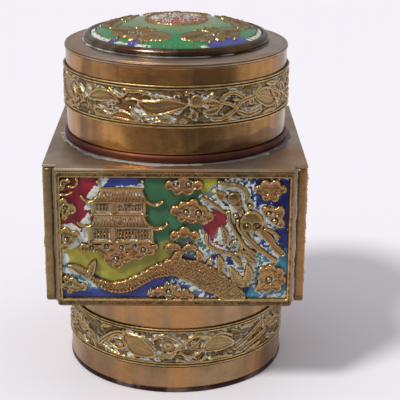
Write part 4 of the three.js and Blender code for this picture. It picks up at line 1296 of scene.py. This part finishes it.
class EnamelBoxBody(bpy.types.Operator):
    """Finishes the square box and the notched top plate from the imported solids"""

    bl_idname = "enamel_box.body"
    bl_label = "Body and Top Plate"

    def execute(self, context):
        for node, name, kind, slot, width in (
            ("top_plate", "notched_plate", "Dull Brass", "dull_brass", 0.22),
            ("body_box", "body_shell", "Sheet Brass", "sheet_brass", 0.3),
        ):
            piece = own_copy(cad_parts[node])
            take(piece)
            edit()
            bpy.ops.mesh.remove_doubles(threshold=MERGE)
            bpy.ops.mesh.dissolve_limited(angle_limit=math.radians(1))
            done()
            bevel = piece.modifiers.new("Edge", "BEVEL")
            bevel.width = width * MM
            bevel.segments = 2
            bevel.limit_method = "ANGLE"
            bevel.angle_limit = math.radians(40)
            bpy.ops.object.modifier_apply(modifier=bevel.name)
            finish(piece, name, metal(kind), slot, [node], angle=30)
        return {"FINISHED"}


class EnamelBoxSolder(bpy.types.Operator):
    """Models the solder runs at the corner notches, round the collar and round the bezel"""

    bl_idname = "enamel_box.solder"
    bl_label = "Solder"

    def execute(self, context):
        low, high = cad("panel_front")
        core = high[0] + 0.15
        plate = cad("top_plate")
        heights = np.linspace(low[2] + 0.3, plate[0][2] - 0.05, 64)
        radius = context.scene.enamel_box_sizes.notch_solder / MM
        for i, corner in enumerate(((-1, -1), (1, -1), (1, 1), (-1, 1))):
            wander, drops = mottle((64, 2), 9, 95 + i)[:, 0], mottle((64, 2), 20, 105 + i)[:, 0]
            reach = np.clip(radius * (0.5 + 0.75 * wander + 0.35 * (drops - 0.5)), 0.35, 1.7)
            section = [(0.3, heights[0]), *zip(reach, heights), (0.3, heights[-1])]
            piece = turned(section, 14, open_ends=True)
            points = places(piece.data)
            lean = np.interp(points[:, 2], heights, np.random.default_rng(90 + i).random(64) * 0.24)
            points[:, 0] += corner[0] * (core + lean)
            points[:, 1] += corner[1] * (core + lean[::-1])
            put(piece.data, points)
            finish(piece, f"corner_solder_{i + 1}", metal("Solder"), "solder", angle=50)
        for name, inner, foot, wide, tall, seed in (
            ("collar_solder", cad("copper_collar")[1][0] - 1.2, plate[1][2], 1.55, 0.42, 121),
            ("bezel_solder", cad("bezel")[1][0] - 0.8, cad("lid_top_plate")[1][2], 0.95, 0.5, 131),
        ):
            section = [(0, 0), (wide, 0), (wide * 0.7, tall * 0.5), (0, tall)]
            piece = turned(rounded([(inner + r, foot + z) for r, z in section], 0.2, 3), 360)
            points = places(piece.data)
            away = np.hypot(points[:, 0], points[:, 1])
            bearing = (np.arctan2(points[:, 1], points[:, 0]) / (2 * math.pi) + 0.5) * 359
            ripple = np.interp(bearing, np.arange(360), mottle((360, 2), 46, seed)[:, 0])
            wanted = inner + (away - inner) * (1 + (ripple - 0.5) * 2.2)
            points[:, :2] *= (wanted / away)[:, None]
            points[:, 2] = foot + (points[:, 2] - foot) * (0.7 + 0.5 * ripple)
            put(piece.data, points)
            finish(piece, name, metal("Solder"), "solder", angle=60)
        return {"FINISHED"}


# Shader node groups and materials


def feed(tree, sockets, values):
    """Links each named socket to another, or gives it a value. A colour gets its fourth number."""
    for key, value in values.items():
        if isinstance(value, bpy.types.NodeSocket):
            tree.links.new(value, sockets[key])
        else:
            sockets[key].default_value = (*value, 1) if sockets[key].type == "RGBA" else value


def node(tree, kind, inputs=None, **settings):
    """Adds a shader node, sets its options, and feeds its inputs."""
    made = tree.nodes.new("ShaderNode" + kind)
    for key, value in settings.items():
        setattr(made, key, value)
    feed(tree, made.inputs, inputs or {})
    return made


def number(tree, operation, first, second=0.0, clamp=False):
    return node(tree, "Math", {0: first, 1: second}, operation=operation, use_clamp=clamp).outputs[0]


def times(tree, first, second, clamp=False):
    return number(tree, "MULTIPLY", first, second, clamp)


def plus(tree, first, second, clamp=False):
    return number(tree, "ADD", first, second, clamp)


def minus(tree, first, second, clamp=False):
    return number(tree, "SUBTRACT", first, second, clamp)


def span(tree, value, low, high, to_low=0.0, to_high=1.0):
    """A value brought from one range to another with soft ends."""
    return node(
        tree, "MapRange", {"Value": value, "From Min": low, "From Max": high, "To Min": to_low, "To Max": to_high},
        interpolation_type="SMOOTHSTEP",
    ).outputs["Result"]


def blend(tree, share, first, second, kind="MIX"):
    return node(tree, "Mix", {0: share, 6: first, 7: second}, data_type="RGBA", blend_type=kind).outputs[2]


def new_group(name, inputs, outputs):
    """A shader node group with named sockets, or the one already built."""
    found = bpy.data.node_groups.get(name)
    if found:
        return found, None, None
    tree = bpy.data.node_groups.new(name, "ShaderNodeTree")
    for socket_name, kind, value in inputs:
        socket = tree.interface.new_socket(socket_name, in_out="INPUT", socket_type="NodeSocket" + kind)
        socket.default_value = (*value, 1) if kind == "Color" else value
    for socket_name, kind in outputs:
        tree.interface.new_socket(socket_name, in_out="OUTPUT", socket_type="NodeSocket" + kind)
    return tree, tree.nodes.new("NodeGroupInput").outputs, tree.nodes.new("NodeGroupOutput").inputs


def place(tree, scale=(1, 1, 1), seed=0.0):
    """Object coordinates stretched by a scale, in which one unit is a metre."""
    spot = node(tree, "TexCoord").outputs["Object"]
    shift = (seed, seed * 0.7, seed * 0.3)
    return node(tree, "Mapping", {"Vector": spot, "Scale": scale, "Location": shift}).outputs[0]


def noise(tree, vector, scale, detail=4.0, roughness=0.55, distortion=0.0):
    inputs = {"Vector": vector, "Scale": scale, "Detail": detail, "Roughness": roughness, "Distortion": distortion}
    return node(tree, "TexNoise", inputs).outputs["Fac"]


def roughened(tree, value, grain, amount):
    """A value moved up and down by a noise."""
    return plus(tree, value, times(tree, minus(tree, grain, 0.5), amount))


def patina_and_reflection_group():
    """Streaks, warm patches and small spots on sheet metal: the spots are tarnish, the streaks partly tarnish and
    partly painted reflection, and the warm patches painted reflection on the drums and a reddish tone on the castings.
    """
    tree, given, result = new_group(
        "Patina and Reflection",
        [("Metal", "Color", (0.5, 0.4, 0.2)), ("Stain", "Color", (0.2, 0.1, 0.1)), ("Warm", "Color", (0.6, 0.3, 0.1)),
         ("Streaks", "Float", 0.7), ("Spots", "Float", 0.5)],
        [("Colour", "Color"), ("Tarnish", "Float")],
    )
    if given is None:
        return tree
    tall, even, wide = (place(tree, (1, 1, high), seed) for high, seed in ((0.22, 3.1), (0.7, 1.7), (2.2, 6.3)))
    # Streaks: partly tarnish, partly painted reflection.
    streak = span(tree, noise(tree, tall, 95, 3, 0.5, 0.3), 0.38, 0.66)
    cloud = span(tree, noise(tree, even, 42, 5, 0.6, 0.6), 0.36, 0.68)
    # Warm patches: painted reflection on the drums, a reddish tone on the castings.
    warm = span(tree, noise(tree, tall, 45, 4, 0.6, 0.8), 0.46, 0.6)
    thin = span(tree, noise(tree, wide, 260, 4, 0.7), 0.35, 0.75)
    spots = times(tree, span(tree, noise(tree, even, 420, 2, 0.5), 0.66, 0.74), given["Spots"])
    # The tarnish mask holds the streaks as well, so it is partly painted reflection.
    tarnish = times(tree, number(tree, "MAXIMUM", times(tree, streak, 0.8), cloud), given["Streaks"], True)
    base = blend(tree, tarnish, given["Metal"], given["Stain"])
    base = blend(tree, times(tree, warm, 0.65), base, given["Warm"])
    base = blend(tree, times(tree, thin, 0.3), base, given["Stain"])
    base = blend(tree, spots, base, given["Stain"])
    feed(tree, result, {"Colour": base, "Tarnish": number(tree, "MAXIMUM", tarnish, spots)})
    return tree


def scratch_group():
    """Hairline scratches across a surface, as a mask and a height."""
    tree, given, result = new_group(
        "Scratches", [("Amount", "Float", 0.5)], [("Mask", "Float"), ("Height", "Float")]
    )
    if given is None:
        return tree
    mask = 0.0
    for scale, seed in (((14, 14, 1), 2.2), ((1, 1, 18), 5.5), ((9, 3, 1.2), 8.1)):
        hair = number(tree, "ABSOLUTE", minus(tree, noise(tree, place(tree, scale, seed), 130, 3, 0.6, 0.25), 0.5))
        mask = number(tree, "MAXIMUM", mask, span(tree, hair, 0.016, 0.0))
    patchy = span(tree, noise(tree, place(tree, seed=4.4), 70, 2), 0.45, 0.62)
    mask = times(tree, times(tree, mask, patchy), given["Amount"])
    feed(tree, result, {"Mask": mask, "Height": times(tree, mask, -1)})
    return tree


def wear_and_painted_light_group():
    """What lies on a casting: dark hollows of tarnish and painted shade, bright edges of rubbed wear and painted
    highlight, and pale residue.
    """
    tree, given, result = new_group(
        "Casting Wear and Painted Light",
        [("Metal", "Color", (0.5, 0.4, 0.2)), ("Hollow Colour", "Color", (0.1, 0.1, 0.1)),
         ("Rubbed And Glint Colour", "Color", (0.8, 0.7, 0.5)), ("Residue Colour", "Color", (0.6, 0.6, 0.6)),
         ("Residue", "Float", 0.0), ("Hollow", "Float", 0.0), ("Rub And Glint", "Float", 0.0)],
        [("Colour", "Color"), ("Roughness", "Float"), ("Bare", "Float"), ("Height", "Float")],
    )
    if given is None:
        return tree
    fine = noise(tree, place(tree, seed=9.3), 1500, 3, 0.6)
    broken = noise(tree, place(tree, seed=2.9), 420, 4, 0.65)
    rub_and_glint = times(tree, given["Rub And Glint"], span(tree, broken, 0.3, 0.6, 0.35, 1.0))
    hollow = span(tree, roughened(tree, given["Hollow"], fine, 0.5), 0.12, 0.75)
    residue = span(tree, roughened(tree, given["Residue"], fine, 0.7), 0.38, 0.62)
    pale = blend(tree, span(tree, broken, 0.42, 0.62, 0.0, 0.55), given["Residue Colour"], given["Hollow Colour"])
    # Tarnish and painted shade darken the hollows; the raised edges take the rubbed colour as wear and painted
    # highlight.
    base = blend(tree, times(tree, hollow, 0.85), given["Metal"], given["Hollow Colour"])
    base = blend(tree, rub_and_glint, base, given["Rubbed And Glint Colour"])
    rough = minus(tree, plus(tree, 0.3, times(tree, hollow, 0.3)), times(tree, rub_and_glint, 0.08))
    feed(tree, result, {
        "Colour": blend(tree, residue, base, pale),
        "Roughness": plus(tree, rough, times(tree, residue, 0.4), True),
        "Bare": minus(tree, 1.0, residue, True),
        "Height": plus(tree, times(tree, fine, 0.5), times(tree, residue, 0.8)),
    })
    return tree


def group(tree, made, inputs):
    placed = tree.nodes.new("ShaderNodeGroup")
    placed.node_tree = made
    feed(tree, placed.inputs, inputs)
    return placed.outputs


def material(name):
    """A new material with its shader, or the one already built."""
    found = bpy.data.materials.get(name)
    if found:
        return found, None, None
    made = bpy.data.materials.new(name)
    made.use_nodes = True
    tree = made.node_tree
    return made, tree, tree.nodes["Principled BSDF"]


def bumped(tree, height, strength, distance):
    """A normal bent by a height."""
    return node(tree, "Bump", {"Height": height, "Strength": strength, "Distance": distance * MM}).outputs["Normal"]


Metal = namedtuple(
    "Metal", "colour stain warm streaks spots roughness scratches metallic dark_below", defaults=(1.0, None)
)
METALS = {
    "Sheet Brass": Metal("brass", "brass_stain_and_reflection", "brass_warm_reflection", 0.8, 0.45, 0.27, 0.6),
    # The lid drum darkens below 80.3 mm: a painted reflection of the plate and panels below it.
    "Lid Brass": Metal("brass", "brass_stain_and_reflection", "brass_warm_reflection", 0.85, 0.45, 0.1, 0.6, dark_below=80.3),
    "Foot Brass": Metal("foot", "foot_stain_and_reflection", "foot_warm_reflection", 0.85, 0.4, 0.17, 0.6),
    "Dull Brass": Metal("dull", "dull_stain", "brass", 0.75, 0.6, 0.42, 0.9),
    "Lid Plate Brass": Metal("dull", "dull_stain", "brass", 0.6, 0.6, 0.27, 0.9),
    # The base disc is dark purple-brown all over.
    "Base Brass": Metal("copper_stain", "hollow", "dull_stain", 0.6, 0.6, 0.4, 0.7),
    "Bezel Brass": Metal("brass_stain_and_reflection", "hollow", "dull_stain", 0.6, 0.5, 0.2, 0.5),
    "Copper": Metal("copper", "copper_stain", "copper", 0.8, 0.5, 0.42, 0.5),
    "Solder": Metal("solder", "dull_stain", "residue", 0.4, 0.7, 0.5, 0.3, metallic=0.4),
}


def metal(name):
    """Sheet or plate metal with tarnish streaks and warm patches that are partly painted reflection, hairline scratches
    and, below a height, a wandering dark edge that is a painted reflection.
    """
    made, tree, shader = material(name)
    if tree is None:
        return made
    look = METALS[name]
    plain, stain, warm = (getattr(bpy.context.scene.enamel_box_colours, kind) for kind in look[:3])
    patina_and_reflection = group(tree, patina_and_reflection_group(), {
        "Metal": plain, "Stain": stain, "Warm": warm, "Streaks": look.streaks, "Spots": look.spots,
    })
    lines = group(tree, scratch_group(), {"Amount": look.scratches})
    shade = blend(tree, times(tree, lines["Mask"], 0.35), patina_and_reflection["Colour"], plain)
    # Painted reflection: below the given height the colour turns to the stain along an edge that wanders.
    if look.dark_below is not None:
        height = node(tree, "SeparateXYZ", {0: node(tree, "TexCoord").outputs["Object"]}).outputs[2]
        drift = roughened(tree, height, noise(tree, place(tree, (1, 1, 0.4), 2.6), 11, 4, 0.6), 0.05)
        over = minus(tree, drift, look.dark_below * MM)
        shade = blend(tree, times(tree, span(tree, over, 0.0006, -0.0006), 0.7), shade, stain)
    rough = plus(tree, look.roughness, times(tree, patina_and_reflection["Tarnish"], 0.16))
    grain = noise(tree, place(tree, seed=7.7), 900, 3, 0.6)
    waves = noise(tree, place(tree, (1, 1, 0.5), 1.1), 55, 2, 0.5)
    height = plus(tree, times(tree, grain, 0.12), times(tree, waves, 0.9))
    feed(tree, shader.inputs, {
        "Base Color": shade,
        "Roughness": plus(tree, rough, times(tree, lines["Mask"], 0.12), True),
        "Metallic": look.metallic,
        "Normal": bumped(tree, plus(tree, height, times(tree, lines["Height"], 0.12)), 0.35, 0.25),
    })
    return made


def worn(tree):
    """The residue, hollow and bright-edge amounts that are stored on a piece; the hollow is tarnish and painted shade,
    the bright edge rubbed wear and painted highlight.
    """
    wear = node(tree, "Attribute", attribute_name="wear").outputs["Color"]
    return node(tree, "SeparateColor", {0: wear}).outputs


def cast_brass():
    """Cast relief brass with dark hollows of tarnish and painted shade, bright edges of rubbed wear and painted
    highlight, and pale residue.
    """
    made, tree, shader = material("Cast Brass")
    if tree is None:
        return made
    c = bpy.context.scene.enamel_box_colours
    residue, hollow, rub_and_glint = worn(tree)
    patina_and_reflection = group(tree, patina_and_reflection_group(), {
        "Metal": c.cast, "Stain": c.brass_stain_and_reflection, "Warm": c.cast_warm, "Streaks": 0.55, "Spots": 0.3,
    })
    wear_and_light = group(tree, wear_and_painted_light_group(), {
        "Metal": patina_and_reflection["Colour"], "Hollow Colour": c.hollow, "Rubbed And Glint Colour": c.rub_and_glint, "Residue Colour": c.residue,
        "Residue": residue, "Hollow": hollow, "Rub And Glint": rub_and_glint,
    })
    feed(tree, shader.inputs, {
        "Base Color": wear_and_light["Colour"], "Roughness": wear_and_light["Roughness"], "Metallic": wear_and_light["Bare"],
        "Normal": bumped(tree, wear_and_light["Height"], 0.6, 0.2),
    })
    return made


def enamel(name):
    """Glossy fused enamel with its colours from the piece, small pits, and pale residue at the figures."""
    made, tree, shader = material(name)
    if tree is None:
        return made
    c = bpy.context.scene.enamel_box_colours
    glaze = node(tree, "Attribute", attribute_name="glaze").outputs["Color"]
    cloud = noise(tree, place(tree, seed=3.3), 160, 4, 0.6)
    fine = noise(tree, place(tree, seed=5.9), 1400, 3, 0.6)
    shade = node(tree, "HueSaturation", {"Color": glaze, "Value": span(tree, cloud, 0.25, 0.75, 0.82, 1.18)}).outputs[0]
    pits = span(tree, noise(tree, place(tree, seed=8.8), 700, 2, 0.5), 0.70, 0.76)
    shade = blend(tree, times(tree, pits, 0.6), shade, c.hollow)
    lie = span(tree, roughened(tree, worn(tree)[0], fine, 0.6), 0.38, 0.62)
    film = span(tree, noise(tree, place(tree, seed=6.6), 640, 4, 0.65), 0.5, 0.66, 0.0, 0.8)
    rough = plus(tree, span(tree, cloud, 0.3, 0.7, 0.16, 0.3), times(tree, lie, 0.5), True)
    height = plus(tree, times(tree, cloud, 0.6), times(tree, lie, times(tree, fine, 0.8)))
    feed(tree, shader.inputs, {
        "Base Color": blend(tree, lie, shade, blend(tree, film, c.residue, c.murk)),
        "Roughness": rough,
        "Coat Weight": times(tree, minus(tree, 1.0, lie), 0.12, True),
        "Coat Roughness": 0.12,
        "Specular IOR Level": 0.25,
        "Normal": bumped(tree, minus(tree, height, times(tree, pits, 0.5)), 0.35, 0.15),
    })
    return made


# Stage: the camera's place in metres and its turns in radians are fitted to the photo. The card is dark and only
# reflections see it, so the drums mirror a dark middle.

FLOOR_SIZE = 30
CARD_WIDE, CARD_DEEP = 1.1, 0.6
CARD_PLACE = (0, -0.5, 0.0006)
CARD_PAINT = (120, 117, 114)
CAMERA_PLACE = (0.003106, -0.371374, 0.181877)
CAMERA_YAW, CAMERA_PITCH, CAMERA_ROLL = 0.0132, 0.334, 0.009
KEY_TOWARDS = (0.62, 0.55, -1.0)


class EnamelBoxSetting(bpy.types.Operator):
    """Makes the floor, the light and the camera"""

    bl_idname = "enamel_box.setting"
    bl_label = "Stage"

    def execute(self, context):
        stage = context.scene.enamel_box_stage
        clear()
        bpy.ops.mesh.primitive_plane_add(size=FLOOR_SIZE)
        floor = context.object
        floor.name = "floor"
        edit()
        bpy.ops.mesh.subdivide(number_cuts=3)
        done()
        made, tree, shader = material("Floor")
        shade = times(tree, noise(tree, place(tree, seed=1.0), 3, 2), 0.1)
        feed(tree, shader.inputs, {"Base Color": blend(tree, shade, stage.floor, stage.sky), "Roughness": 0.9})
        floor.data.materials.append(made)

        clear()
        bpy.ops.mesh.primitive_plane_add(size=1, location=CARD_PLACE)
        card = context.object
        card.name = "dark_card"
        card.visible_camera = card.visible_diffuse = card.visible_shadow = False
        edit()
        bpy.ops.transform.resize(value=(CARD_WIDE, CARD_DEEP, 1), center_override=CARD_PLACE)
        done()
        made, tree, shader = material("Dark Card")
        feed(tree, shader.inputs, {"Base Color": paint(*CARD_PAINT), "Roughness": 0.9})
        card.data.materials.append(made)

        world = bpy.data.worlds.new("Soft surround")
        world.use_nodes = True
        context.scene.world = world
        tree = world.node_tree
        axes = node(tree, "SeparateXYZ", {0: node(tree, "TexCoord").outputs["Generated"]}).outputs
        ahead = span(tree, times(tree, axes[1], -1.0), 0.35, 0.95, 1.0, 0.3)
        height = span(tree, axes[2], -0.1, 0.8, 0.75, 1.25)
        feed(tree, tree.nodes["Background"].inputs, {
            "Strength": times(tree, ahead, height),
            "Color": blend(tree, 1.0, stage.sky, (stage.sky_strength,) * 3, "MULTIPLY"),
        })

        clear()
        bpy.ops.object.light_add(type="SUN", location=(-0.6, -0.6, 1.2))
        key = context.object
        key.name = "key"
        key.data.energy = stage.key_strength
        key.data.angle = stage.key_width
        key.rotation_euler = Vector(KEY_TOWARDS).to_track_quat("-Z", "Y").to_euler()

        yaw, pitch, roll = CAMERA_YAW, CAMERA_PITCH, CAMERA_ROLL
        ahead = Vector((math.sin(yaw) * math.cos(pitch), math.cos(yaw) * math.cos(pitch), -math.sin(pitch)))
        right = Vector((math.cos(yaw), -math.sin(yaw), 0))
        up = right.cross(ahead)
        turned_right = math.cos(roll) * right + math.sin(roll) * up
        turned_up = -math.sin(roll) * right + math.cos(roll) * up
        data = bpy.data.cameras.new("camera")
        camera = bpy.data.objects.new("camera", data)
        context.scene.collection.objects.link(camera)
        data.sensor_width = 36
        data.lens = stage.lens
        data.clip_start, data.clip_end = 0.01, 20
        placed = Matrix((turned_right, turned_up, -ahead)).transposed().to_4x4()
        placed.translation = Vector(CAMERA_PLACE)
        camera.matrix_world = placed
        context.scene.camera = camera
        context.scene.view_settings.view_transform = "Standard"
        return {"FINISHED"}


class EnamelBoxPanel(bpy.types.Panel):
    """Lists the steps that build the box"""

    bl_idname = "VIEW3D_PT_enamel_box"
    bl_label = "Enamel Box"
    bl_space_type = "VIEW_3D"
    bl_region_type = "UI"
    bl_category = "Enamel Box"

    def draw(self, context):
        for step in STEPS:
            self.layout.operator(step.bl_idname)
        for holder in ("enamel_box_sizes", "enamel_box_colours", "enamel_box_stage"):
            settings = getattr(context.scene, holder)
            for name in settings.__annotations__:
                self.layout.prop(settings, name)


STEPS = (
    EnamelBoxSetting,
    EnamelBoxDrums,
    EnamelBoxPlates,
    EnamelBoxBody,
    EnamelBoxPanels,
    EnamelBoxPanelEnamel,
    EnamelBoxBands,
    EnamelBoxMedallion,
    EnamelBoxSolder,
)
HOLDERS = {
    "enamel_box_sizes": EnamelBoxSizes,
    "enamel_box_colours": EnamelBoxColours,
    "enamel_box_stage": EnamelBoxStage,
}


def register():
    for item in (*HOLDERS.values(), *STEPS, EnamelBoxPanel):
        bpy.utils.register_class(item)
    for name, item in HOLDERS.items():
        setattr(bpy.types.Scene, name, PointerProperty(type=item))


def unregister():
    for name in HOLDERS:
        delattr(bpy.types.Scene, name)
    for item in (EnamelBoxPanel, *reversed(STEPS), *reversed(HOLDERS.values())):
        bpy.utils.unregister_class(item)


def main():
    register()
    for step in STEPS:
        family, name = step.bl_idname.split(".")
        getattr(getattr(bpy.ops, family), name)()
    clear()


if __name__ == "__main__":
    main()
